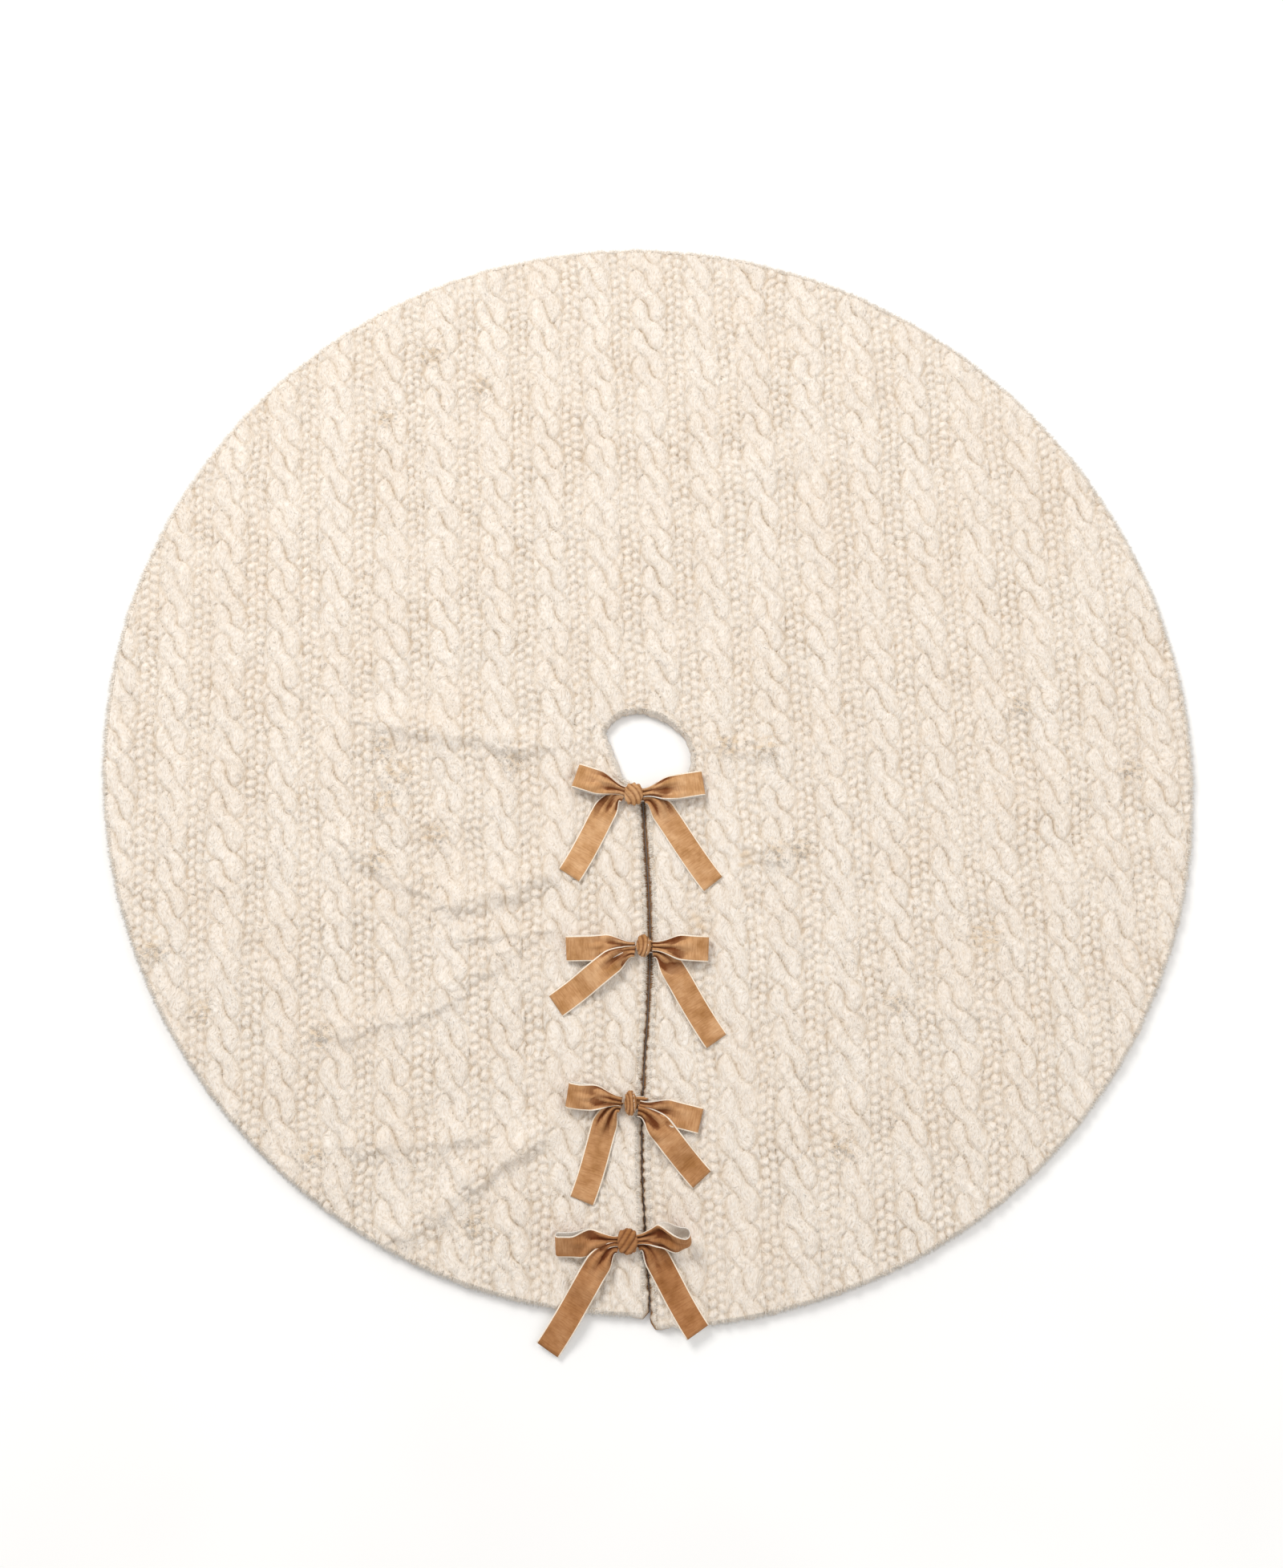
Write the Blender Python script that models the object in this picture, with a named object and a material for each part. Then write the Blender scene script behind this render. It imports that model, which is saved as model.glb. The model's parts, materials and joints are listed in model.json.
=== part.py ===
# Round faux-fur tree skirt that lies flat on the floor around a trunk.
# A slit runs from the centre hole to the front edge and is closed by four tied ribbon bows.
# Metres, +Z up. Fur side up, slit towards -Y. The underside of the hem is at z = 0.
import math

import bmesh
import bpy
from mathutils import Vector

# ---- Cloth outline
skirt_radius = 0.610
oval_stretch = 0.0075
oval_angle = math.radians(-50)
front_step = 0.011
front_step_spread = math.radians(14)
hole_radius = 0.0475
hole_stretch = 0.006
hole_stretch_angle = math.radians(150)
hole_flat_distance = 0.038
hole_flat_angle = math.radians(201)
slit_gap = 0.0085
slit_offset = -0.0015
slit_wander = 0.0045
slit_wave_length = 0.42
slit_crest_y = -0.215

# ---- Cloth layers
fur_height = 0.0135
edge_roll = 0.004
hem_width = 0.014
lining_thickness = 0.0012
lining_lift = 0.0003
layer_gap = 0.0004

# ---- Fold across the hole
fold_behind_centre = 0.024
fold_axis_height = 0.025
fold_cut = 0.0006

# ---- Ribbon
ribbon_width = 0.028
ribbon_thickness = 0.0012
gathered_width = 0.010
gather_length = 0.030
stitched_end_width = 0.014
piece_gap = 0.0005

# ---- Knot, half sizes along, across and up
knot_half = (0.0115, 0.0125, 0.0065)
knot_lift = 0.0042
knot_to_ribbon = 0.0010
knot_squareness = 0.85

# ---- Heights of the ribbon layers over the fur
start_height = 0.0052
layer_step = 0.0018
loop_mouth = 0.0028
rest_height = 0.0011
low_loop_rise = 0.0058
full_loop_rise = 0.0090
tail_start_sideways = 0.006
tail_bend = 0.016
tail_straight_share = 0.55
tail_droop = 0.008
droop_length = 0.040
tip_share = 0.8

# ---- Distances from the hinge line over which a ribbon changes height or rolls
settle_start = 0.012
settle_end = 0.038
upper_delay = 0.3
crown_start = 0.004
crown_end = 0.030
past_loop_start = 0.050
past_loop_end = 0.080
roll_start = 0.022
roll_full = 0.048
seam_gap = 0.001
seam_height = 0.0045
stitched_bend = 0.0022

# ---- Bow places along the slit: the first from the hole, the last from the front edge, two between
first_bow_from_hole = 0.0075
last_bow_from_edge = 0.082
bow_shares = (0.0, 0.351, 0.702, 1.0)

# One entry for a bow. Loops: direction, length from the knot's centre, sideways roll.
# Tails: direction, length, and whether the tail lies over its loop. Angles in degrees.
bows = (
    {
        "knot_x": -0.015,
        "left": {"loop": (161.5, 0.068, 0), "tail": (231.5, 0.114, False)},
        "right": {"loop": (9.5, 0.078, 0), "tail": (-48.5, 0.132, False)},
    },
    {
        "knot_x": -0.004,
        "left": {"loop": (181.5, 0.084, 8), "tail": (214.0, 0.115, True)},
        "right": {"loop": (-2.5, 0.070, 5), "tail": (-52.5, 0.129, False)},
    },
    {
        "knot_x": -0.018,
        "left": {"loop": (171.5, 0.068, 10), "tail": (243.0, 0.114, False)},
        "right": {"loop": (-14.0, 0.077, 0), "tail": (-46.5, 0.110, True)},
    },
    {
        "knot_x": -0.021,
        "left": {"loop": (181.0, 0.075, 22), "tail": (233.0, 0.139, True)},
        "right": {"loop": (9.5, 0.066, 40), "tail": (-51.5, 0.118, False)},
    },
)

outer_steps = 24
hole_steps = 9
slit_steps = 12
run_steps = 9
tip_steps = 6
tail_steps = 16


def material(name, colour, roughness):
    made = bpy.data.materials.new(name)
    made.use_nodes = True
    shader = made.node_tree.nodes["Principled BSDF"]
    shader.inputs["Base Color"].default_value = (*colour, 1.0)
    shader.inputs["Roughness"].default_value = roughness
    shader.inputs["Metallic"].default_value = 0.0
    return made


def add_object(name, mesh, look, parent):
    made = bpy.data.objects.new(name, mesh)
    mesh.materials.append(look)
    bpy.context.collection.objects.link(made)
    made.parent = parent
    return made


def add_empty(name):
    made = bpy.data.objects.new(name, None)
    bpy.context.collection.objects.link(made)
    return made


def smooth_step(value, low, high):
    share = min(max((value - low) / (high - low), 0.0), 1.0)
    return share * share * (3 - 2 * share)


# ---- Outline of the cloth

# The cloth is pulled out along one diagonal, and the right slit corner hangs lower than the left.
# side is -1 left of the slit, 1 right of it.
def outer_radius(angle, side):
    oval = oval_stretch * math.cos(2 * (angle - oval_angle))
    from_front = math.remainder(angle + math.pi / 2, 2 * math.pi) / front_step_spread
    return skirt_radius + oval + side * front_step / 2 * math.exp(-from_front * from_front)


# The hole is a little oval, and pulled straight on the side of the first knot.
def hole_edge_radius(angle):
    oval = hole_radius + hole_stretch * math.cos(2 * (angle - hole_stretch_angle))
    facing = math.cos(angle - hole_flat_angle)
    flat = hole_flat_distance / facing if facing > 0.5 else oval
    return min(oval, flat)


def slit_centre(y):
    return slit_offset + slit_wander * math.cos(2 * math.pi * (y - slit_crest_y) / slit_wave_length)


def slit_edge(y, side, inset):
    return slit_centre(y) + side * (slit_gap / 2 + inset)


# A point of a curve given by its radius, where the curve meets the height y on one side.
def point_at_height(radius_at, y, side):
    angle = 0.0 if side > 0 else math.pi
    for _ in range(8):
        radius = radius_at(angle)
        rise = math.asin(max(min(y / radius, 1.0), -1.0))
        angle = rise if side > 0 else math.pi - rise
    return angle


# A point of such a curve where it meets the slit edge of one side, at the front.
def angle_at_slit(radius_at, side, inset):
    angle = -math.pi / 2
    for _ in range(8):
        y = -radius_at(angle)
        angle = math.atan2(y, slit_edge(y, side, inset))
    return angle


def arc_points(radius_at, first, last, steps):
    angles = [first + (last - first) * step / steps for step in range(steps + 1)]
    return [(radius_at(a) * math.cos(a), radius_at(a) * math.sin(a)) for a in angles]


# Outline of the cloth in front of the fold, on one side of the slit, counter-clockwise seen from above.
def front_outline(side, inset, fold_y):
    def outer(angle):
        return outer_radius(angle, side) - inset

    def hole(angle):
        return hole_edge_radius(angle) + inset

    outer_fold = point_at_height(outer, fold_y, side)
    hole_fold = point_at_height(hole, fold_y, side)
    outer_slit = angle_at_slit(outer, side, inset)
    hole_slit = angle_at_slit(hole, side, inset)
    if side < 0:
        outer_slit += 2 * math.pi
        hole_slit += 2 * math.pi
    rim = arc_points(outer, outer_slit, outer_fold, outer_steps)
    inner = arc_points(hole, hole_fold, hole_slit, hole_steps)
    top_y = inner[-1][1]
    bottom_y = rim[0][1]
    heights = [top_y + (bottom_y - top_y) * step / slit_steps for step in range(1, slit_steps)]
    slit = [(slit_edge(y, side, inset), y) for y in heights]
    points = rim + inner + slit
    return points if side > 0 else points[::-1]


# Outline of the cloth behind the fold, around the back of the hole.
def back_outline(inset, fold_y):
    def outer(angle):
        return outer_radius(angle, 0) - inset

    def hole(angle):
        return hole_edge_radius(angle) + inset

    rim = arc_points(outer, point_at_height(outer, fold_y, 1), point_at_height(outer, fold_y, -1), 2 * outer_steps)
    inner = arc_points(hole, point_at_height(hole, fold_y, -1), point_at_height(hole, fold_y, 1), 2 * hole_steps)
    return rim + inner


# A closed body through outlines with the same number of points, one for each height.
def stacked_body(name, levels):
    bm = bmesh.new()
    rings = [[bm.verts.new((x, y, z)) for x, y in outline] for z, outline in levels]
    for low, high in zip(rings, rings[1:]):
        for index, corner in enumerate(low):
            following = (index + 1) % len(low)
            bm.faces.new((corner, low[following], high[following], high[index]))
    bm.faces.new(rings[0][::-1])
    bm.faces.new(rings[-1])
    mesh = bpy.data.meshes.new(name)
    bm.to_mesh(mesh)
    bm.free()
    return mesh


# The pile rolls over at the rim, the hole and the slit. The cloth is turned under there as a hem,
# which leaves a shallow pocket for the lining.
def add_fur(name, outline_at, fold_y, fold_way, look, parent):
    roll = ((0.0, edge_roll / 2), (edge_roll * 0.75, 0.0), (fur_height - edge_roll, 0.0),
            (fur_height - edge_roll / 4, edge_roll * 0.4), (fur_height, edge_roll))
    fur = add_object(name, stacked_body(name, [(z, outline_at(inset, fold_y)) for z, inset in roll]), look, parent)
    pocket_depth = lining_lift + lining_thickness + layer_gap
    past_fold = fold_y + fold_way * 2 * layer_gap
    pocket = [(z, outline_at(hem_width, past_fold)) for z in (-pocket_depth, pocket_depth)]
    cutter = bpy.data.objects.new(name + "_pocket_cutter", stacked_body(name + "_pocket", pocket))
    bpy.context.collection.objects.link(cutter)
    cutter.parent = parent
    cutter.hide_render = True
    cutter.display_type = "WIRE"
    cut = fur.modifiers.new("lining_pocket", "BOOLEAN")
    cut.operation = "DIFFERENCE"
    cut.object = cutter


def add_lining(name, outline_at, fold_y, look, parent):
    inset = hem_width + layer_gap
    levels = [(z, outline_at(inset, fold_y)) for z in (lining_lift, lining_lift + lining_thickness)]
    add_object(name, stacked_body(name, levels), look, parent)


def add_cloth(fur_look, lining_look, parent):
    front_y = fold_behind_centre - fold_cut / 2
    back_y = fold_behind_centre + fold_cut / 2

    def left(inset, fold_y):
        return front_outline(-1, inset, fold_y)

    def right(inset, fold_y):
        return front_outline(1, inset, fold_y)

    add_fur("fur_front_left", left, front_y, 1, fur_look, parent)
    add_fur("fur_front_right", right, front_y, 1, fur_look, parent)
    add_fur("fur_back", back_outline, back_y, -1, fur_look, parent)
    add_lining("lining_front_left", left, front_y, lining_look, parent)
    add_lining("lining_front_right", right, front_y, lining_look, parent)
    add_lining("lining_back", back_outline, back_y, lining_look, parent)


# ---- Ribbon

# A ribbon along a path of (place, sideways direction, width), as a strip with the ribbon's thickness.
def ribbon_mesh(name, sections):
    bm = bmesh.new()
    rows = []
    for place, sideways, width in sections:
        half = Vector(sideways).normalized() * (width / 2)
        rows.append((bm.verts.new(Vector(place) - half), bm.verts.new(Vector(place) + half)))
    for first, second in zip(rows, rows[1:]):
        bm.faces.new((first[0], second[0], second[1], first[1]))
    mesh = bpy.data.meshes.new(name)
    bm.to_mesh(mesh)
    bm.free()
    return mesh


def add_ribbon(name, sections, look, parent):
    made = add_object(name, ribbon_mesh(name, sections), look, parent)
    thick = made.modifiers.new("ribbon_thickness", "SOLIDIFY")
    thick.thickness = ribbon_thickness
    thick.offset = 0.0
    return made


def width_at(distance):
    return gathered_width + (ribbon_width - gathered_width) * smooth_step(distance, 0.0, gather_length)


# Heights here are over the fur. Of a loop and a tail on one side, one lies over the other.
# Both turn about one line, level with the top of the ribbon where the upper one leaves the knot.
def hinge_height():
    return start_height + layer_step + loop_mouth + ribbon_thickness / 2


# The loop leaves the knot, lies on the fur, turns back at its tip and returns to the knot above itself.
def loop_sections(length, roll_angle, upper):
    lift = layer_step if upper else 0.0
    rise = full_loop_rise if upper else low_loop_rise
    tip_radius = rise * tip_share / 2
    straight = length - tip_radius

    def low(x):
        waited = x - (upper_delay * ribbon_width if upper else 0.0)
        return start_height + lift + (rest_height - start_height) * smooth_step(waited, settle_start, settle_end)

    def high(x):
        crown = rise * (1 - (1 - tip_share) * smooth_step(x, crown_end, straight))
        settled = rest_height + lift + crown
        start = start_height + lift + loop_mouth
        return start + (settled - start) * smooth_step(x, crown_start, crown_end)

    steps = [straight * step / run_steps for step in range(run_steps)]
    turn = [math.pi * step / tip_steps for step in range(tip_steps + 1)]
    tip_height = rest_height + lift + tip_radius
    path = [(x, low(x)) for x in steps]
    path += [(straight + tip_radius * math.sin(t), tip_height - tip_radius * math.cos(t)) for t in turn]
    path += [(x, high(x)) for x in steps[::-1]]

    sections = []
    for x, height in path:
        width = width_at(x)
        roll = math.radians(roll_angle) * smooth_step(x, roll_start, roll_full)
        from_base = height - rest_height - lift
        sideways = -from_base * math.sin(roll)
        raised = rest_height + lift + from_base * math.cos(roll) + width / 2 * abs(math.sin(roll))
        place = (x, sideways, raised - hinge_height())
        sections.append((place, (0.0, math.cos(roll), math.sin(roll)), width))
    return sections


# The tail leaves the knot beside the loop, bends to its own direction and settles on the fur.
# end is its far end in the loop's frame, and height_lost says how far it droops at a place past the rim.
def tail_sections(end, way, over, height_lost):
    start = Vector((0.0, way * tail_start_sideways))
    reach = end - start
    bend = start + Vector((tail_bend, 0.0))
    aim = end - reach * tail_straight_share
    first = start_height + (layer_step + loop_mouth if over else 0.0)
    near, far = (past_loop_start, past_loop_end) if over else (settle_start, settle_end)
    sections = []
    for step in range(tail_steps + 1):
        t = step / tail_steps
        place = start * (1 - t) ** 3 + bend * 3 * t * (1 - t) ** 2 + aim * 3 * t * t * (1 - t) + end * t ** 3
        along = (bend - start) * (1 - t) ** 2 + (aim - bend) * 2 * t * (1 - t) + (end - aim) * t * t
        height = first + (rest_height - first) * smooth_step(place.length, near, far) - height_lost(place)
        sideways = (-along.y, along.x, 0.0)
        sections.append(((place.x, place.y, height - hinge_height()), sideways, width_at(place.length)))
    return sections


def knot_mesh(name):
    bm = bmesh.new()
    bmesh.ops.create_uvsphere(bm, u_segments=18, v_segments=10, radius=1.0)
    for corner in bm.verts:
        corner.co = [math.copysign(abs(c) ** knot_squareness, c) * half for c, half in zip(corner.co, knot_half)]
    mesh = bpy.data.meshes.new(name)
    bm.to_mesh(mesh)
    bm.free()
    mesh.shade_smooth()
    return mesh


# The sewn end of a ribbon comes up out of the slit, bends over the edge of the fur and runs in under the knot.
def stitched_end_sections(side, knot_x, y, level):
    edge = slit_edge(y, side, 0.0) - side * (seam_gap + ribbon_thickness / 2)
    over = fur_height + rest_height + level
    under_knot = knot_x + side * knot_half[0] / 4
    run = min(under_knot - edge, -2 * stitched_bend)
    turn = [math.pi / 2 * step / tip_steps for step in range(tip_steps + 1)]
    path = [(edge, seam_height)]
    path += [(edge - stitched_bend * (1 - math.cos(t)), over - stitched_bend * (1 - math.sin(t))) for t in turn]
    path += [(edge + run, over)]
    return [((x, y, z), (0.0, 1.0, 0.0), stitched_end_width) for x, z in path]


def add_bow(number, knot_y, shape, look, skirt):
    prefix = "bow_%d_" % number
    knot_x = shape["knot_x"]
    knot_place = Vector((knot_x, knot_y, fur_height + knot_lift + knot_half[2]))
    knot = add_object(prefix + "knot", knot_mesh(prefix + "knot"), look, skirt)
    knot.location = knot_place

    for side, word in ((-1, "left"), (1, "right")):
        level = layer_step if side > 0 else 0.0
        sections = stitched_end_sections(side, knot_x, knot_y, level)
        add_ribbon(prefix + word + "_stitched_end", sections, look, skirt)

        loop_angle, loop_length, roll_angle = shape[word]["loop"]
        tail_angle, tail_length, over = shape[word]["tail"]
        turn = math.radians(loop_angle)
        from_knot = knot_half[0] + knot_to_ribbon
        hinge = Vector((math.cos(turn) * from_knot, math.sin(turn) * from_knot, 0.0))
        hinge += Vector((knot_x, knot_y, fur_height + hinge_height()))

        sections = loop_sections(loop_length - from_knot, side * roll_angle, not over)
        loop = add_ribbon(prefix + word + "_loop", sections, look, skirt)

        swing = math.radians(tail_angle) - turn
        end = Vector((math.cos(swing), math.sin(swing))) * tail_length - Vector((from_knot, 0.0))

        def height_lost(place, hinge=hinge, turn=turn, side=side):
            x = hinge.x + place.x * math.cos(turn) - place.y * math.sin(turn)
            y = hinge.y + place.x * math.sin(turn) + place.y * math.cos(turn)
            past_rim = math.hypot(x, y) - outer_radius(math.atan2(y, x), side)
            return tail_droop * smooth_step(past_rim, edge_roll, edge_roll + droop_length)

        tail = add_ribbon(prefix + word + "_tail", tail_sections(end, -side, over, height_lost), look, skirt)
        for piece in (loop, tail):
            piece.location = hinge
            piece.rotation_euler = (0.0, 0.0, turn)


def bow_heights():
    first = -(hole_edge_radius(-math.pi / 2) + first_bow_from_hole)
    last = -(outer_radius(-math.pi / 2, 0) - last_bow_from_edge)
    return [first + (last - first) * share for share in bow_shares]


# Moves the whole skirt so that the middle of its box lies over the origin.
def centre_on_origin(skirt):
    bpy.context.view_layer.update()
    graph = bpy.context.evaluated_depsgraph_get()
    corners = []
    for piece in bpy.context.scene.objects:
        if piece.type == "MESH" and not piece.hide_render:
            whole = piece.evaluated_get(graph)
            corners += [whole.matrix_world @ corner.co for corner in whole.data.vertices]
    middle = [(min(c[axis] for c in corners) + max(c[axis] for c in corners)) / 2 for axis in (0, 1)]
    skirt.location = (-middle[0], -middle[1], 0.0)
    bpy.context.view_layer.update()


def build():
    for old in list(bpy.data.objects):
        bpy.data.objects.remove(old, do_unlink=True)
    fur_look = material("cream_faux_fur", (0.84, 0.76, 0.65), 0.95)
    lining_look = material("ivory_lining", (0.78, 0.74, 0.68), 0.85)
    ribbon_look = material("tan_velvet_ribbon", (0.54, 0.31, 0.13), 0.8)
    skirt = add_empty("skirt")
    add_cloth(fur_look, lining_look, skirt)
    for number, (height, shape) in enumerate(zip(bow_heights(), bows), 1):
        add_bow(number, height, shape, ribbon_look, skirt)
    centre_on_origin(skirt)


build()
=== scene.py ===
import json
import math

import bpy
import numpy as np
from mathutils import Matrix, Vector


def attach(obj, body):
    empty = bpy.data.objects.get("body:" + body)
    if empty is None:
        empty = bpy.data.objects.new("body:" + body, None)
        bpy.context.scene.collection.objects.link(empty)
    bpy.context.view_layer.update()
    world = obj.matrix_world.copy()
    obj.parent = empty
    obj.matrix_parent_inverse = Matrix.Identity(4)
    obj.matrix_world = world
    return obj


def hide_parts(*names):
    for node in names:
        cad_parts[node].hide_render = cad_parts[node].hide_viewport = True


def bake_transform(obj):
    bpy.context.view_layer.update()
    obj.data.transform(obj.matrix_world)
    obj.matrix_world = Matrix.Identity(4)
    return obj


# A round faux-fur tree skirt with a cable-knit relief, lying fur side up and closed by four ribbon bows.
# Metres, +Z up. The cloth is worked out from the middle of the trunk hole and then put in its place.
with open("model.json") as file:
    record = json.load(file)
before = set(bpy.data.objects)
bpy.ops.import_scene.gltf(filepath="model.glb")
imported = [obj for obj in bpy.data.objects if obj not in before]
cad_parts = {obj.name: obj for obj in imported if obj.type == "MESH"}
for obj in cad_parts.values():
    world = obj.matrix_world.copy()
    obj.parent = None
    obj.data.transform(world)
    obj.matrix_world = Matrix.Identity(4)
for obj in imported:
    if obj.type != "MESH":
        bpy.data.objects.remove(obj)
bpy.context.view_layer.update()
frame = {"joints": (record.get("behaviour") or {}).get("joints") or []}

scene = bpy.context.scene
randomSource = np.random.default_rng(7)

foldJoint = next(j for j in frame["joints"] if j["name"] == "half_fold")


# ---- Small helpers

def toLinear(hexColour):
    values = [int(hexColour[i:i + 2], 16) / 255 for i in (1, 3, 5)]
    return [v / 12.92 if v <= 0.04045 else ((v + 0.055) / 1.055) ** 2.4 for v in values] + [1.0]


# Adds a node. A value that is a socket is linked, anything else is set.
def addNode(tree, kind, inputs=None, **settings):
    node = tree.nodes.new(kind)
    for name, value in settings.items():
        setattr(node, name, value)
    for name, value in (inputs or {}).items():
        if isinstance(value, bpy.types.NodeSocket):
            tree.links.new(value, node.inputs[name])
        else:
            node.inputs[name].default_value = value
    return node


def newMaterial(name):
    made = bpy.data.materials.new(name)
    made.use_nodes = True
    return made, made.node_tree, made.node_tree.nodes["Principled BSDF"]


# A colour ramp with its stops given as (place, hex colour).
def addRamp(tree, factor, stops):
    node = addNode(tree, "ShaderNodeValToRGB", {"Fac": factor})
    ramp = node.color_ramp
    while len(ramp.elements) < len(stops):
        ramp.elements.new(0.5)
    for element, (place, colour) in zip(ramp.elements, stops):
        element.position = place
        element.color = toLinear(colour)
    return node.outputs["Color"]


def smoothStep(value, low, high):
    share = np.clip((value - low) / (high - low), 0.0, 1.0)
    return share * share * (3 - 2 * share)


# A smooth random field: crossed waves of about one length, from about -1.5 to 1.5.
def softNoise(x, y, length, seed, count=14):
    source = np.random.default_rng(seed)
    total = np.zeros_like(x)
    for _ in range(count):
        way = source.uniform(0, 2 * math.pi)
        pace = 2 * math.pi / (length * source.uniform(0.7, 1.5))
        start = source.uniform(0, 2 * math.pi)
        total += np.sin((x * math.cos(way) + y * math.sin(way)) * pace + start)
    return total / math.sqrt(count / 2)


def meshFromArrays(name, points, faces):
    mesh = bpy.data.meshes.new(name)
    mesh.vertices.add(len(points))
    mesh.vertices.foreach_set("co", np.asarray(points, np.float32).ravel())
    mesh.loops.add(faces.size)
    mesh.loops.foreach_set("vertex_index", faces.astype(np.int32).ravel())
    mesh.polygons.add(len(faces))
    mesh.polygons.foreach_set("loop_start", np.arange(0, faces.size, faces.shape[1], dtype=np.int32))
    mesh.update(calc_edges=True)
    mesh.validate()
    return mesh


def addPiece(name, mesh, materials):
    piece = bpy.data.objects.new(name, mesh)
    scene.collection.objects.link(piece)
    for look in materials:
        mesh.materials.append(look)
    mesh.shade_smooth()
    return piece


def setAttribute(mesh, name, values):
    made = mesh.attributes.new(name, "FLOAT", "POINT")
    made.data.foreach_set("value", np.asarray(values, np.float32))


def applyModifiers(piece):
    bpy.ops.object.select_all(action="DESELECT")
    bpy.context.view_layer.objects.active = piece
    piece.select_set(True)
    for modifier in list(piece.modifiers):
        bpy.ops.object.modifier_apply(modifier=modifier.name)
    piece.select_set(False)


# ---- Outline of the cloth

cloth = {
    "radius": 0.610,
    "ovalStretch": 0.0075,  # pulled out along one diagonal
    "ovalAngle": math.radians(-50),
    "frontStep": 0.011,  # the right slit corner hangs lower than the left
    "frontStepSpread": math.radians(14),
    "foldBehindCentre": 0.024,
    "furHeight": 0.0135,
    "hemWidth": 0.014,
}
hole = {
    "radius": 0.0475,
    "stretch": 0.006,
    "stretchAngle": math.radians(150),
    "flatDistance": 0.038,  # pulled straight on the side of the first knot
    "flatAngle": math.radians(201),
}
slit = {
    "gap": 0.0085,
    "offset": -0.0015,
    "wander": 0.0045,
    "waveLength": 0.42,
    "crestY": -0.215,
}
centre = np.array([0.0, foldJoint["pos_m"][1] - cloth["foldBehindCentre"]])


def rimRadius(angle, side):
    oval = cloth["ovalStretch"] * np.cos(2 * (angle - cloth["ovalAngle"]))
    fromFront = np.remainder(angle + 1.5 * math.pi, 2 * math.pi) - math.pi
    step = np.exp(-(fromFront / cloth["frontStepSpread"]) ** 2) * cloth["frontStep"] / 2
    return cloth["radius"] + oval + side * step


def holeRadius(angle):
    oval = hole["radius"] + hole["stretch"] * np.cos(2 * (angle - hole["stretchAngle"]))
    facing = np.cos(angle - hole["flatAngle"])
    return np.where(facing > 0.5, np.minimum(oval, hole["flatDistance"] / np.maximum(facing, 0.5)), oval)


def slitMiddle(y):
    return slit["offset"] + slit["wander"] * np.cos(2 * math.pi * (y - slit["crestY"]) / slit["waveLength"])


# How far a place is inside the cloth's edge, below zero outside it.
def insideDistance(x, y):
    angle, fromCentre = np.arctan2(y, x), np.hypot(x, y)
    fromSlit = x - slitMiddle(y)
    toRim = rimRadius(angle, np.sign(fromSlit)) - fromCentre
    toHole = fromCentre - holeRadius(angle)
    toSlit = np.where(y < 0, np.abs(fromSlit) - slit["gap"] / 2, 1.0)
    return np.minimum(np.minimum(toRim, toHole), toSlit)


def inwardWay(x, y):
    reach = 0.0003
    across = insideDistance(x + reach, y) - insideDistance(x - reach, y)
    along = insideDistance(x, y + reach) - insideDistance(x, y - reach)
    size = np.maximum(np.hypot(across, along), 1e-9)
    return across / size, along / size


# ---- Relief of the fur: cables, and double columns of beads between them

relief = {
    "columnStep": np.array([0.06125, 0.0008]),  # from one cable column to the next
    "cableStep": np.array([-0.001367, 0.03687]),  # from one cable to the next up its column
    "start": np.array([0.2722, -0.1845]),  # middle of a cable, level with the top of its left lobe
    "strandLength": 0.0676,
    "lobeOut": 0.0099,  # how far a lobe's middle is from the cable's middle
    "lobeHalf": 0.0095,
    "cableDepth": 0.0042,
    "beadDepth": 0.0044,
    "beadSpacing": 0.0049,  # from the bead column's middle to either row
    "beadHalfWidth": 0.0056,
    "beadHalfHeight": 0.0062,
    "beadsPerCable": 10 / 3,
    "beadTilt": 0.25,
    "wander": 0.0014,  # how far the pattern strays from its lattice
}
latticeToPlace = np.array([relief["columnStep"], relief["cableStep"]]).T
placeToLattice = np.linalg.inv(latticeToPlace)


# The right edge of a strand, at a distance down it. The left edge is the same, turned about its middle.
def strandEdge(down):
    pitch = relief["cableStep"][1]
    overlap = relief["strandLength"] - pitch
    out, half = relief["lobeOut"], relief["lobeHalf"]
    inGroove = np.clip(2 * down / overlap - 1, -1, 1)
    bend = np.sign(inGroove) * (1 - np.sqrt(1 - inGroove ** 2))
    groove = out * (0.25 * inGroove + 0.75 * bend)
    widest = overlap + (relief["strandLength"] - overlap) * 0.5
    opening = np.sin(np.clip((down - overlap) / (widest - overlap), 0, 1) * math.pi / 2)
    closing = np.clip((down - widest) / (relief["strandLength"] - widest), 0, 1)
    outside = out + half * np.where(down < widest, opening, np.sqrt(1 - closing ** 2))
    return np.where(down < overlap, groove, outside)


def strandHeight(across, down):
    length = relief["strandLength"]
    inside = (down > 0) & (down < length)
    held = np.clip(down, 0, length)
    right, left = strandEdge(held), -strandEdge(length - held)
    half = np.maximum((right - left) / 2, 1e-5)
    share = np.clip(np.abs(across - (right + left) / 2) / half, 0, 1)
    fromEnd = np.clip(np.minimum(held, length - held) / 0.010, 0, 1)
    rounded = np.sqrt(1 - (1 - fromEnd) ** 2)
    beyond = np.where(inside, np.abs(across - (right + left) / 2) - half, 0.02)
    return np.where(inside, (1 - share ** 2.7) ** 0.75 * (0.45 + 0.55 * rounded), 0.0), beyond


def beadHeight(across, up):
    step = relief["cableStep"][1] / relief["beadsPerCable"]
    best = np.full_like(across, 0.22)
    for side in (-1, 1):
        sideways = across - side * relief["beadSpacing"]
        tilted = up + side * relief["beadTilt"] * sideways + side * step / 4
        fromBead = np.remainder(tilted + step / 2, step) - step / 2
        out = (sideways / relief["beadHalfWidth"]) ** 2 + (fromBead / relief["beadHalfHeight"]) ** 2
        best = np.maximum(best, np.clip(1 - out, 0, 1) ** 0.6)
    return best


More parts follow.
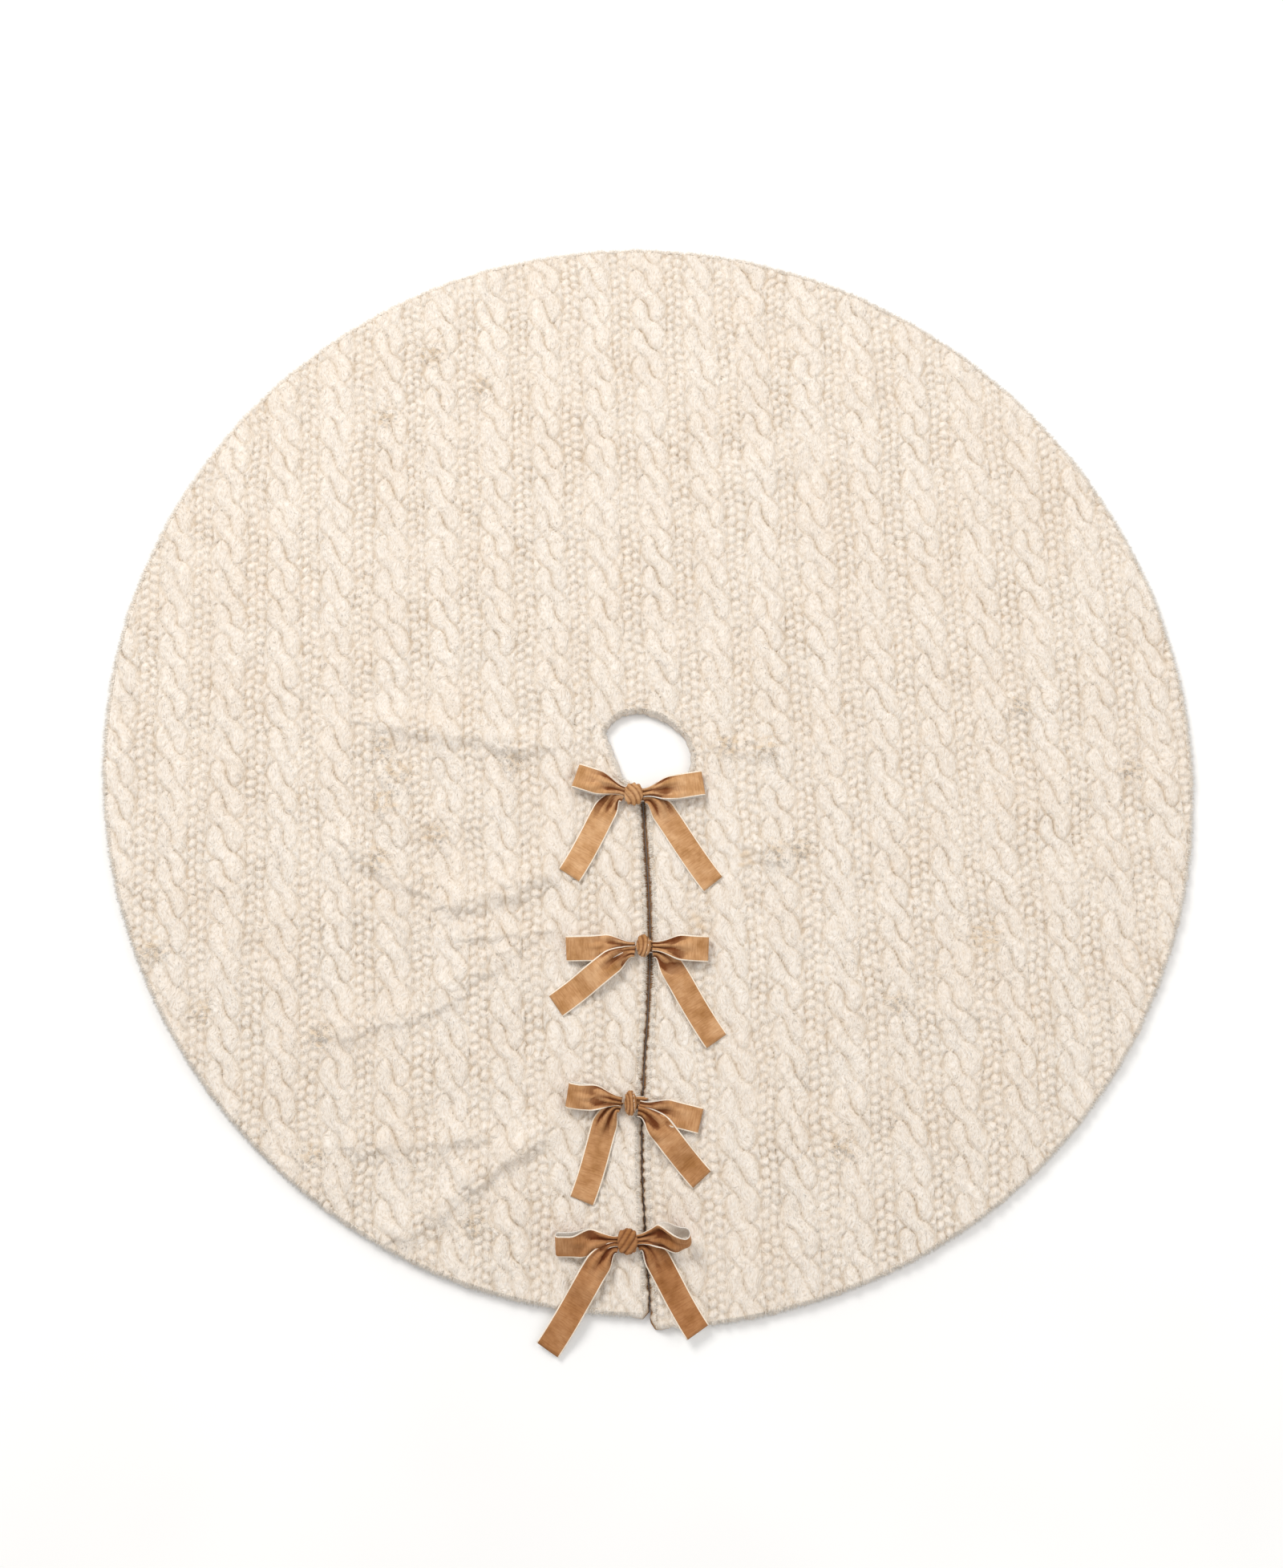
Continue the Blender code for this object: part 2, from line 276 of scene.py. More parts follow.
# Height of the pile at a place, from 0 in a groove to 1 on a crest, and how deep its grooves are.
def reliefAt(x, y):
    strayX = x + relief["wander"] * (softNoise(x, y, 0.11, 1) + 0.5 * softNoise(x, y, 0.03, 2))
    strayY = y + relief["wander"] * (softNoise(x, y, 0.13, 3) + 0.5 * softNoise(x, y, 0.03, 4))
    fromStart = np.stack([strayX - relief["start"][0], strayY - relief["start"][1]])
    column, cable = np.tensordot(placeToLattice, fromStart, 1)
    width = relief["columnStep"][0]
    pitch = relief["cableStep"][1]
    across = (np.remainder(column + 0.5, 1.0) - 0.5) * width
    up = cable * pitch
    down = np.remainder(-up, pitch)
    upper, besideUpper = strandHeight(across, down)
    lower, besideLower = strandHeight(across, down + pitch)
    outer = smoothStep(np.maximum(besideUpper, besideLower), 0.0010, 0.0050)
    ground = outer * (0.30 + 0.58 * smoothStep(np.minimum(besideUpper, besideLower), 0.0, 0.0030))
    ground = ground * (1 - 0.45 * smoothStep(np.abs(across), 0.0188, 0.0204))
    cables = np.maximum(np.maximum(upper, lower), ground)
    fromBeads = (np.remainder(column, 1.0) - 0.5) * width
    beads = beadHeight(fromBeads, up)
    onBeads = np.abs(fromBeads) < width / 6
    height = np.where(onBeads, beads, cables)
    depth = np.where(onBeads, relief["beadDepth"], relief["cableDepth"])
    return height, depth, onBeads


# Soft creases in the cloth: from, to, height and half width.
creases = (
    ((-0.325, -0.113), (-0.217, -0.175), 0.0034, 0.015),
    ((-0.217, -0.175), (-0.059, -0.129), 0.0058, 0.015),
    ((-0.190, -0.212), (-0.094, -0.201), 0.0041, 0.012),
    ((-0.185, -0.470), (-0.077, -0.401), 0.0065, 0.014),
    ((-0.260, -0.523), (-0.176, -0.466), 0.0037, 0.014),
    ((-0.305, -0.433), (-0.177, -0.424), 0.0037, 0.014),
    ((-0.303, 0.028), (-0.105, 0.001), 0.0048, 0.014),
    ((-0.292, -0.031), (-0.272, -0.131), 0.0037, 0.013),
    ((-0.215, -0.263), (-0.146, -0.219), 0.0034, 0.013),
    ((-0.327, -0.314), (-0.215, -0.280), 0.0031, 0.014),
    ((0.056, -0.068), (0.135, -0.122), 0.0034, 0.012),
    ((0.137, 0.005), (0.065, 0.010), 0.0041, 0.011),
)


def creaseHeight(x, y):
    total = np.zeros_like(x)
    for (x0, y0), (x1, y1), height, half in creases:
        reach = np.array([x1 - x0, y1 - y0])
        share = np.clip(((x - x0) * reach[0] + (y - y0) * reach[1]) / (reach @ reach), 0, 1)
        away = np.hypot(x - x0 - share * reach[0], y - y0 - share * reach[1])
        away = away + 0.003 * softNoise(x, y, 0.05, 11)
        lower = (y - y0) * reach[0] < (x - x0) * reach[1]  # steeper on the side away from the light
        total = np.maximum(total, 1.5 * height * np.exp(-(away / half * np.where(lower, 1.4, 0.7)) ** 2))
    return total * smoothStep(np.abs(x - slitMiddle(y)), 0.080, 0.125)  # flat under the bows


# Places where the pile is ruffled, which shows its tan undercoat.
ruffles = (
    (0.088, 0.005, 0.020), (0.137, 0.005, 0.018), (0.144, -0.113, 0.015), (0.171, -0.113, 0.015),
    (-0.279, -0.022, 0.020), (-0.292, -0.059, 0.020), (-0.237, -0.095, 0.018), (-0.298, -0.122, 0.018),
    (0.371, -0.210, 0.022), (0.272, -0.280, 0.014), (-0.540, -0.223, 0.018), (-0.252, 0.479, 0.018),
    (-0.195, 0.438, 0.016), (-0.306, 0.398, 0.018), (0.539, -0.022, 0.014), (-0.353, -0.314, 0.016),
    (0.208, -0.433, 0.016), (-0.184, -0.515, 0.016), (0.055, -0.193, 0.014), (0.418, 0.051, 0.014),
    (-0.150, -0.013, 0.014), (-0.294, 0.005, 0.016), (-0.484, -0.288, 0.016), (-0.356, -0.441, 0.016),
    (0.109, -0.122, 0.014),
)


def ruffleAt(x, y):
    total = np.zeros_like(x)
    for x0, y0, half in ruffles:
        total = np.maximum(total, np.exp(-((x - x0) ** 2 + (y - y0) ** 2) / half ** 2))
    broken = softNoise(x, y, 0.012, 21)
    return np.clip(total * (0.75 + 0.35 * broken), 0, 1)


def furTop(x, y):
    height, depth, onBeads = reliefAt(x, y)
    lively = np.clip(0.92 + 0.07 * softNoise(x, y, 0.12, 5) + 0.09 * softNoise(x, y, 0.03, 10), 0.6, 1.15)
    ruffle = ruffleAt(x, y)
    lost = depth * lively * (1 - height) * (1 - 0.5 * ruffle)
    tufts = 0.00022 * softNoise(x, y, 0.009, 6) + 0.0002 * softNoise(x, y * 0.45, 0.005, 7)
    tufts += 0.0010 * ruffle * softNoise(x, y, 0.010, 8)
    swell = 0.0005 * softNoise(x, y, 0.07, 9) - 0.0005 * onBeads
    flatter = 1 - 0.7 * smoothStep(-np.abs(x - slitMiddle(y)), -0.115, -0.095) * (y < -0.03)
    top = cloth["furHeight"] - 0.0004 - lost + (tufts + swell) * flatter + creaseHeight(x, y)
    return top, 1 - (1 - height) * lively, ruffle


# ---- The cloth as one grid along the pattern, with its edge rolled over and turned under

sheetGrid = {
    "cellsAcross": 36,  # to a column
    "cellsUp": 22,  # to a cable
    "band": 0.0085,  # width of the rolled edge
    "rollAtRim": 0.0038,
    "rollAtSlit": 0.0022,
    "bulgeAtRim": 0.0016,  # how far the pile stands out past the cloth's edge
    "bulgeAtSlit": 0.0018,
    "closingAtFront": 0.0016,  # the slit's two sides come closer near the front edge
    "rootsInSlit": 0.0040,  # the pile's roots nearly meet at the bottom of the slit
    "edgeHeight": 0.0028,  # height of the furthest point of the roll
    "columnsInStrip": 3,
}


paintedSlitShade = -0.2  # the pile height stored for painted shade at the slit's roots, which gets a dark brown of its own in the ramp


def gridPlaces(stepAcross, stepUp):
    reach = int(0.68 / min(abs(stepAcross[0]), abs(stepUp[1]))) + 4
    across, up = np.meshgrid(np.arange(-reach, reach + 1), np.arange(-reach, reach + 1), indexing="ij")
    return across, up


# Cells of the lattice inside the cloth's edge, with their outermost corners moved onto the edge line.
# Gives places, cells, and the edge corners in order, with the cloth on their left.
def clothGrid(stepAcross, stepUp, start, band):
    across, up = gridPlaces(stepAcross, stepUp)
    x = start[0] + across * stepAcross[0] + up * stepUp[0]
    y = start[1] + across * stepAcross[1] + up * stepUp[1]
    step = math.hypot(*stepUp)
    deep = insideDistance(x, y) > band - 0.3 * step
    kept = deep[:-1, :-1] & deep[1:, :-1] & deep[1:, 1:] & deep[:-1, 1:]
    sides = np.zeros(kept.shape, int)
    sides[1:] += kept[:-1]
    sides[:-1] += kept[1:]
    sides[:, 1:] += kept[:, :-1]
    sides[:, :-1] += kept[:, 1:]
    kept &= sides > 1
    number = np.arange(x.size).reshape(x.shape)
    first, second = np.nonzero(kept)
    cells = np.stack([number[first, second], number[first + 1, second],
                      number[first + 1, second + 1], number[first, second + 1]], 1)
    edges = np.concatenate([cells[:, [k, (k + 1) % 4]] for k in range(4)])
    lowest = edges.min(1).astype(np.int64) * x.size + edges.max(1)
    _, where, counts = np.unique(lowest, return_index=True, return_counts=True)
    rim = edges[where[counts == 1]]
    following = dict(zip(rim[:, 0].tolist(), rim[:, 1].tolist()))
    corner = rim[0, 0]
    loop = []
    while corner in following:
        loop.append(corner)
        corner = following.pop(corner)
    used, cells = np.unique(cells, return_inverse=True)
    cells = cells.reshape(-1, 4)
    place = np.stack([x.ravel()[used], y.ravel()[used]], 1)
    loop = np.searchsorted(used, np.array(loop))
    for _ in range(4):
        px, py = place[loop, 0], place[loop, 1]
        wayX, wayY = inwardWay(px, py)
        short = band - insideDistance(px, py)
        place[loop, 0] += wayX * short
        place[loop, 1] += wayY * short
    for _ in range(2):
        place[loop] = 0.5 * place[loop] + 0.25 * (np.roll(place[loop], 1, 0) + np.roll(place[loop], -1, 0))
    return place, cells, loop, len(following)


def besideSlit(x, y):
    fromSlit = np.where(y < -0.05, np.abs(x - slitMiddle(y)) - slit["gap"] / 2, 1.0)
    return 1 - smoothStep(fromSlit, 0.010, 0.018)


# Radius of the pile's rounding at an edge, and whether the edge is the slit or the hole.
def rollAt(x, y):
    fromSlit = np.where(y < 0, np.abs(x - slitMiddle(y)) - slit["gap"] / 2, 1.0)
    fromHole = np.hypot(x, y) - holeRadius(np.arctan2(y, x))
    away = smoothStep(np.minimum(fromSlit, fromHole), 0.010, 0.018)
    return sheetGrid["rollAtSlit"] + (sheetGrid["rollAtRim"] - sheetGrid["rollAtSlit"]) * away, 1 - away


# Outward direction at each corner of an edge loop, turned smoothly round the corners of the cloth.
def outwardWays(place, loop):
    wayX, wayY = inwardWay(place[loop, 0], place[loop, 1])
    ways = -np.stack([wayX, wayY], 1)
    for _ in range(4):
        ways = 0.5 * ways + 0.25 * (np.roll(ways, 1, 0) + np.roll(ways, -1, 0))
    return ways / np.linalg.norm(ways, axis=1, keepdims=True)


# How far to go out from the inner edge line to be a given distance inside the cloth's edge.
def outwardReach(edge, ways, distance):
    reach = np.full(len(edge), sheetGrid["band"] - distance)
    for _ in range(6):
        spot = edge + ways * reach[:, None]
        reach = np.clip(reach + insideDistance(spot[:, 0], spot[:, 1]) - distance, -0.012, 0.018)
    return reach


def buildFur():
    stepAcross = relief["columnStep"] / sheetGrid["cellsAcross"]
    stepUp = relief["cableStep"] / sheetGrid["cellsUp"]
    band, edgeHeight = sheetGrid["band"], sheetGrid["edgeHeight"]
    start = relief["start"] + relief["columnStep"] * -4.5 + relief["cableStep"] * 5
    place, cells, loop, left = clothGrid(stepAcross, stepUp, start, band)
    print("fur grid:", len(cells), "cells,", len(loop), "edge corners,", left, "left over")
    top, height, ruffle = furTop(place[:, 0], place[:, 1])
    away = np.clip(insideDistance(place[:, 0], place[:, 1]) / rollAt(place[:, 0], place[:, 1])[0], 0, 1)
    lift = np.sqrt(1 - (1 - away) ** 2)
    points = [np.column_stack([place, edgeHeight + (top - edgeHeight) * lift])]
    shades, ruffled, quads = [height], [ruffle], [cells]
    ways = outwardWays(place, loop)
    edge = place[loop]
    before = loop
    count = len(place)
    # down over the roll, then back under as a hem: distance inside the edge, and height once it is under
    over = [(d, None) for d in (0.0064, 0.0045, 0.0030, 0.0019, 0.0010, 0.0004, 0.0)]
    under = [(0.0003, 0.0030), (0.0014, 0.0013), (0.0032, 0.0004), (0.0060, 0.0001), (0.0100, 0.0),
             (cloth["hemWidth"], 0.0), (cloth["hemWidth"] + 0.0012, 0.0016)]
    inSlit = besideSlit(edge[:, 0], edge[:, 1])
    for distance, fixed in over + under:
        if fixed is not None and distance < 0.002:
            distance = distance - sheetGrid["rootsInSlit"] * inSlit
        spot = edge + ways * outwardReach(edge, ways, distance)[:, None]
        spotTop, spotHeight, spotRuffle = furTop(spot[:, 0], spot[:, 1])
        if fixed is None:
            roll, nearSlit = rollAt(spot[:, 0], spot[:, 1])
            share = np.sqrt(1 - (1 - np.clip(distance / roll, 0, 1)) ** 2)
            level = edgeHeight + (spotTop - edgeHeight) * share
            toFront = smoothStep(-spot[:, 1], 0.24, 0.42)
            closed = sheetGrid["bulgeAtSlit"] + sheetGrid["closingAtFront"] * toFront
            bulge = sheetGrid["bulgeAtRim"] + (closed - sheetGrid["bulgeAtRim"]) * nearSlit
            lumps = 0.25 * softNoise(spot[:, 0], spot[:, 1], 0.008, 31)
            lumps += 0.45 * (1 - nearSlit) * softNoise(spot[:, 0], spot[:, 1], 0.022, 32)
            puff = bulge * (0.55 + 0.7 * spotHeight + lumps)
            spot = spot + ways * (puff * (1 - np.clip(distance / roll, 0, 1)) ** 1.5)[:, None]
            # painted shade: the slit's sides darken to brown towards the roots
            slitShadeShare = inSlit * (1 - min(distance / 0.0015, 1.0)) ** 2
            spotHeight = spotHeight + (paintedSlitShade - spotHeight) * slitShadeShare
        else:
            level = np.full(len(spot), fixed)
            spotHeight = 0.8 + (paintedSlitShade - 0.8) * inSlit  # painted shade: the slit is dark inside
        points.append(np.column_stack([spot, level]))
        shades.append(spotHeight)
        ruffled.append(spotRuffle)
        ring = np.arange(count, count + len(loop))
        quads.append(np.stack([np.roll(before, -1), before, ring, np.roll(ring, -1)], 1))
        before = ring
        count += len(loop)
    points, quads = np.concatenate(points), np.concatenate(quads)
    shades, ruffled = np.concatenate(shades), np.concatenate(ruffled)
    middle = points[quads].mean(1)
    column = (placeToLattice @ (middle[:, :2] - relief["start"]).T)[0] - 1 / 3
    strip = np.floor(column / sheetGrid["columnsInStrip"] + 0.5).astype(int)
    strips = []
    for number in np.unique(strip):
        own = quads[strip == number]
        used, own = np.unique(own, return_inverse=True)
        at = points[used] + [centre[0], centre[1], 0.0]
        strips.append((at, own.reshape(-1, 4), shades[used], ruffled[used]))
    return strips, edge, ways


# ---- Materials of the cloth

furLook = {
    # crest and groove: painted shade, paler on the crests and darker down in the grooves
    "crest": "#F7EFE6",
    "pile": "#F1E7DB",
    "groove": "#D0BEA8",
    # painted shade for the deep slit, a dark brown at the pile's roots
    "roots": "#A07850",
    "undercoat": "#DBC2A2",
    "fibre": 0.0015,  # one lock of pile, coarser than a real fibre so that it shows
    "lockLength": 0.0060,
    "cloud": 0.085,
}


def makeFurMaterial():
    # Acrylic faux fur, knitted pile carved into a relief: matt and soft, with painted shade that darkens its
    # grooves and leaves the crests paler.
    made, tree, shader = newMaterial("creamAcrylicFur")
    place = addNode(tree, "ShaderNodeTexCoord").outputs["Object"]
    bend = addNode(tree, "ShaderNodeTexNoise", {"Vector": place, "Scale": 1 / 0.03, "Detail": 2.0})
    bent = addNode(tree, "ShaderNodeMixRGB",
                   {"Fac": 0.012, "Color1": place, "Color2": bend.outputs["Color"]},
                   blend_type="LINEAR_LIGHT")
    fibre, lock = furLook["fibre"], furLook["lockLength"]
    stretched = addNode(tree, "ShaderNodeMapping", {"Vector": bent.outputs["Color"],
                        "Scale": (1 / fibre, 1 / lock, 1 / fibre)})
    streaks = addNode(tree, "ShaderNodeTexNoise", {"Vector": stretched.outputs["Vector"], "Scale": 1.0,
                      "Detail": 3.0, "Roughness": 0.65}).outputs["Fac"]
    lumps = addNode(tree, "ShaderNodeMapping", {"Vector": bent.outputs["Color"],
                    "Scale": (1 / (2.6 * fibre), 1 / (1.5 * lock), 1 / (2.6 * fibre))})
    clumps = addNode(tree, "ShaderNodeTexNoise", {"Vector": lumps.outputs["Vector"], "Scale": 1.0,
                     "Detail": 2.0, "Roughness": 0.6, "Distortion": 0.4}).outputs["Fac"]
    clouds = addNode(tree, "ShaderNodeTexNoise", {"Vector": place, "Scale": 1 / furLook["cloud"],
                     "Detail": 3.0}).outputs["Fac"]
    crest = addNode(tree, "ShaderNodeAttribute", attribute_name="pileHeight").outputs["Fac"]
    ruffle = addNode(tree, "ShaderNodeAttribute", attribute_name="ruffle").outputs["Fac"]
    # the pile's height from -0.2, which only the painted shade at the slit's roots has, to 1
    level = addNode(tree, "ShaderNodeMapRange", {"Value": crest, "From Min": paintedSlitShade}).outputs["Result"]
    # painted shade: the colour darkens from the crests down into the grooves
    base = addRamp(tree, level, [(0.0, furLook["roots"]), (0.16, furLook["groove"]), (0.58, furLook["pile"]),
                                 (0.96, furLook["crest"])])
    streakTone = addRamp(tree, streaks, [(0.28, "#CDBFAE"), (0.46, "#F1EBE3"), (0.64, "#FEFEFE")])
    toned = addNode(tree, "ShaderNodeMixRGB", {"Fac": 0.70, "Color1": base, "Color2": streakTone},
                    blend_type="MULTIPLY").outputs["Color"]
    cloudTone = addRamp(tree, clouds, [(0.35, "#F5EADD"), (0.60, "#FFFEFC")])
    clouded = addNode(tree, "ShaderNodeMixRGB", {"Fac": 0.20, "Color1": toned, "Color2": cloudTone},
                      blend_type="MULTIPLY").outputs["Color"]
    patch = addNode(tree, "ShaderNodeMath", {0: ruffle, 1: streaks}, operation="MULTIPLY")
    patch = patch.outputs["Value"]
    patch = addNode(tree, "ShaderNodeMapRange", {"Value": patch, "From Min": 0.18, "From Max": 0.48,
                    "To Min": 0.0, "To Max": 0.65}).outputs["Result"]
    tipped = addNode(tree, "ShaderNodeMixRGB", {"Fac": patch, "Color1": clouded,
                     "Color2": toLinear(furLook["undercoat"])}).outputs["Color"]
    tree.links.new(tipped, shader.inputs["Base Color"])
    lay = addNode(tree, "ShaderNodeBump", {"Height": clumps, "Strength": 0.6, "Distance": 0.0030})
    bump = addNode(tree, "ShaderNodeBump", {"Height": streaks, "Strength": 0.6, "Distance": 0.0018,
                   "Normal": lay.outputs["Normal"]})
    tree.links.new(bump.outputs["Normal"], shader.inputs["Normal"])
    shader.inputs["Roughness"].default_value = 0.95
    shader.inputs["Specular IOR Level"].default_value = 0.15
    shader.inputs["Sheen Weight"].default_value = 0.18
    shader.inputs["Sheen Roughness"].default_value = 0.5
    return made


def makeLiningMaterial():
    # Polyester twill lining: a fine diagonal rib with a low sheen.
    made, tree, shader = newMaterial("ivoryTwillLining")
    place = addNode(tree, "ShaderNodeTexCoord").outputs["Object"]
    turned = addNode(tree, "ShaderNodeMapping", {"Vector": place, "Rotation": (0, 0, math.radians(52))})
    # 1.6 mm ribs, coarser than real twill so that they show
    ribs = addNode(tree, "ShaderNodeTexWave", {"Vector": turned.outputs["Vector"], "Scale": 0.31 / 0.0016,
                   "Distortion": 0.6, "Detail": 1.0, "Detail Scale": 2.0}).outputs["Fac"]
    clouds = addNode(tree, "ShaderNodeTexNoise", {"Vector": place, "Scale": 14.0, "Detail": 4.0})
    tone = addRamp(tree, clouds.outputs["Fac"], [(0.3, "#E1D9CC"), (0.7, "#E8E1D5")])
    ribTone = addRamp(tree, ribs, [(0.1, "#E6E0D8"), (0.7, "#FFFFFF")])
    mixed = addNode(tree, "ShaderNodeMixRGB", {"Fac": 0.8, "Color1": tone, "Color2": ribTone},
                    blend_type="MULTIPLY").outputs["Color"]
    tree.links.new(mixed, shader.inputs["Base Color"])
    bump = addNode(tree, "ShaderNodeBump", {"Height": ribs, "Strength": 0.25, "Distance": 0.0004})
    tree.links.new(bump.outputs["Normal"], shader.inputs["Normal"])
    shader.inputs["Roughness"].default_value = 0.62
    shader.inputs["Sheen Weight"].default_value = 0.1
    return made


furMaterial = makeFurMaterial()
liningMaterial = makeLiningMaterial()


def blendAcrossFold(piece):
    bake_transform(piece)


# ---- The fur cloth

# Area of a strip as cut from flat cloth: its plan, and the hem turned under along the cloth's edge.
def cutArea(number):
    step = 0.002
    x, y = np.meshgrid(np.arange(-0.64, 0.64, step), np.arange(-0.64, 0.64, step))
    inside = insideDistance(x, y)
    fromStart = np.stack([x - relief["start"][0], y - relief["start"][1]])
    column = np.tensordot(placeToLattice, fromStart, 1)[0] - 1 / 3
    strip = np.floor(column / sheetGrid["columnsInStrip"] + 0.5).astype(int)
    own = (strip == np.unique(strip[inside > 0])[number - 1]) & (inside > 0)
    return float(own.sum() + (own & (inside < cloth["hemWidth"])).sum()) * step ** 2


def surfaceArea(mesh):
    areas = np.zeros(len(mesh.polygons))
    mesh.polygons.foreach_get("area", areas)
    return float(areas.sum())


strips, clothEdge, clothWays = buildFur()
for number, (at, own, shade, ruffled) in enumerate(strips, 1):
    mesh = meshFromArrays("fur_strip_%d" % number, at, own)
    setAttribute(mesh, "pileHeight", shade)
    setAttribute(mesh, "ruffle", ruffled)
    piece = addPiece("fur_strip_%d" % number, mesh, [furMaterial])
    flatArea = cutArea(number)
    blendAcrossFold(piece)
    print("fur strip", number, len(mesh.polygons) * 2, "triangles, surface share",
          round(surfaceArea(mesh) / flatArea, 2))
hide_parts("fur_front_left")
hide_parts("fur_front_right")
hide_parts("fur_back")


# ---- Loose pile that stands out of the edges and the ruffled places

pileTuft = {
    "length": 0.0052,
    "base": 0.00050,
    "edgeSpacing": 0.0009,
    "rows": (0.0, 0.0008, 0.0020, 0.0040),  # distances in from the edge
    "pressedAt": (-0.083, 0.044),
    "pressedHalf": 0.022,
    "onRuffles": 5200,
    "overall": 26000,
}


# Each tuft is a three-sided point, from its root along its own way.
def addTufts(name, roots, ways, lengths, shade):
    count = len(roots)
    ways = ways / np.linalg.norm(ways, axis=1, keepdims=True)
    side = np.cross(ways, randomSource.normal(size=(count, 3)))
    side /= np.linalg.norm(side, axis=1, keepdims=True)
    other = np.cross(ways, side)
    corners = [roots + pileTuft["base"] * (side * math.cos(a) + other * math.sin(a))
               for a in (0.0, 2 * math.pi / 3, 4 * math.pi / 3)]
    tips = roots + ways * lengths[:, None]
    tips[:, 2] = np.maximum(tips[:, 2], 0.0006)  # none goes through the floor
    points = np.stack(corners + [tips], 1).reshape(-1, 3)
    points[:, 2] = np.maximum(points[:, 2], 0.0003)
    first = np.arange(count)[:, None] * 4
    faces = np.concatenate([first + [0, 1, 3], first + [1, 2, 3], first + [2, 0, 3]])
    mesh = meshFromArrays(name, points + [centre[0], centre[1], 0.0], faces)
    setAttribute(mesh, "pileHeight", np.repeat(shade, 4) * np.tile([0.55, 0.55, 0.55, 1.0], count))
    piece = addPiece(name, mesh, [tuftMaterial])
    blendAcrossFold(piece)
    return piece


def makeTuftMaterial():
    # Loose ends of the same acrylic pile: tan at the root and paler at the tip.
    made, tree, shader = newMaterial("looseAcrylicPile")
    height = addNode(tree, "ShaderNodeAttribute", attribute_name="pileHeight").outputs["Fac"]
    tone = addRamp(tree, height, [(0.0, "#DCC09A"), (0.45, "#F1E5D5"), (0.9, "#FDF8F1")])
    tree.links.new(tone, shader.inputs["Base Color"])
    shader.inputs["Roughness"].default_value = 0.9
    shader.inputs["Specular IOR Level"].default_value = 0.15
    return made


def edgeTufts():
    roots, ways, lengths = [], [], []
    steps = np.linalg.norm(np.roll(clothEdge, -1, 0) - clothEdge, axis=1)
    total = steps.sum()
    travelled = np.concatenate([[0], np.cumsum(steps)])
    closedEdge, closedWays = np.vstack([clothEdge, clothEdge[:1]]), np.vstack([clothWays, clothWays[:1]])
    for distance in pileTuft["rows"]:
        count = int(total / pileTuft["edgeSpacing"] / (1))
        at = np.sort(randomSource.uniform(0, total, count))
        edge = np.column_stack([np.interp(at, travelled, closedEdge[:, k]) for k in (0, 1)])
        out = np.column_stack([np.interp(at, travelled, closedWays[:, k]) for k in (0, 1)])
        spot = edge + out * outwardReach(edge, out, distance)[:, None]
        top = furTop(spot[:, 0], spot[:, 1])[0]
        roll, nearSlit = rollAt(spot[:, 0], spot[:, 1])
        share = np.sqrt(1 - (1 - np.clip(distance / roll, 0, 1)) ** 2)
        level = sheetGrid["edgeHeight"] + (top - sheetGrid["edgeHeight"]) * share
        if distance == 0.0:
            level = level + randomSource.uniform(-0.0025, 0.005, count)
        rise = share * 0.9 - 0.05 + randomSource.normal(0, 0.25, count)
        wild = randomSource.normal(0, 0.35, (count, 2)) + [0.0, -0.25]
        size = pileTuft["length"] * randomSource.uniform(0.5, 1.1, count) * (1 - 0.25 * nearSlit)
        pressed = np.zeros(count, bool)  # under the tails that hang over the front edge
        for tailX in pileTuft["pressedAt"]:
            pressed |= (np.abs(spot[:, 0] - tailX) < pileTuft["pressedHalf"]) & (spot[:, 1] < -0.55)
        roots.append(np.column_stack([spot, level])[~pressed])
        ways.append(np.column_stack([out + wild, rise])[~pressed])
        lengths.append(size[~pressed])
    return np.concatenate(roots), np.concatenate(ways), np.concatenate(lengths)


def surfaceTufts(count, spots):
    if spots is None:
        angle = randomSource.uniform(0, 2 * math.pi, count)
        away = np.sqrt(randomSource.uniform(0.006, 1, count)) * 0.61
        x, y = away * np.cos(angle), away * np.sin(angle)
    else:
        picked = spots[randomSource.integers(0, len(spots), count)]
        x, y = (picked[:, k] + randomSource.normal(0, 1, count) * picked[:, 2] * 0.55 for k in (0, 1))
    underBow = (np.abs(x - slitMiddle(y)) < 0.13) & (y < -0.03)
    kept = (insideDistance(x, y) > 0.006) & ~underBow
    x, y = x[kept], y[kept]
    top, height, ruffle = furTop(x, y)
    turn = -math.pi / 2 + 0.9 * softNoise(x, y, 0.05, 51) + 0.5 * softNoise(x, y, 0.012, 52)
    turn = turn + randomSource.normal(0, 0.25, len(x))
    if spots is not None:
        turn = turn + randomSource.normal(0, 0.9, len(x))
    rise = randomSource.uniform(0.15, 0.45, len(x)) + 0.25 * ruffle
    ways = np.column_stack([np.cos(turn), np.sin(turn), rise])
    lengths = pileTuft["length"] * randomSource.uniform(0.6, 1.2, len(x))
    # tufts down in the grooves are given the same painted groove shade
    return np.column_stack([x, y, top - 0.0008]), ways, lengths, 0.80 + 0.20 * height


tuftMaterial = makeTuftMaterial()
roots, ways, lengths = edgeTufts()
edgePile = addTufts("edge_pile", roots, ways, lengths, np.full(len(roots), 0.95))
less = 1
roots, ways, lengths, shade = surfaceTufts(pileTuft["overall"] // less, None)
nap = addTufts("loose_nap", roots, ways, lengths, shade)
roots, ways, lengths, shade = surfaceTufts(pileTuft["onRuffles"] // less, np.array(ruffles))
ruffledPile = addTufts("ruffled_pile", roots, ways, lengths, shade)
print("pile done")


# ---- The lining, under the fur inside the hem

lining = {"thickness": 0.0012, "lift": 0.0003, "gap": 0.0004, "cell": 0.010}


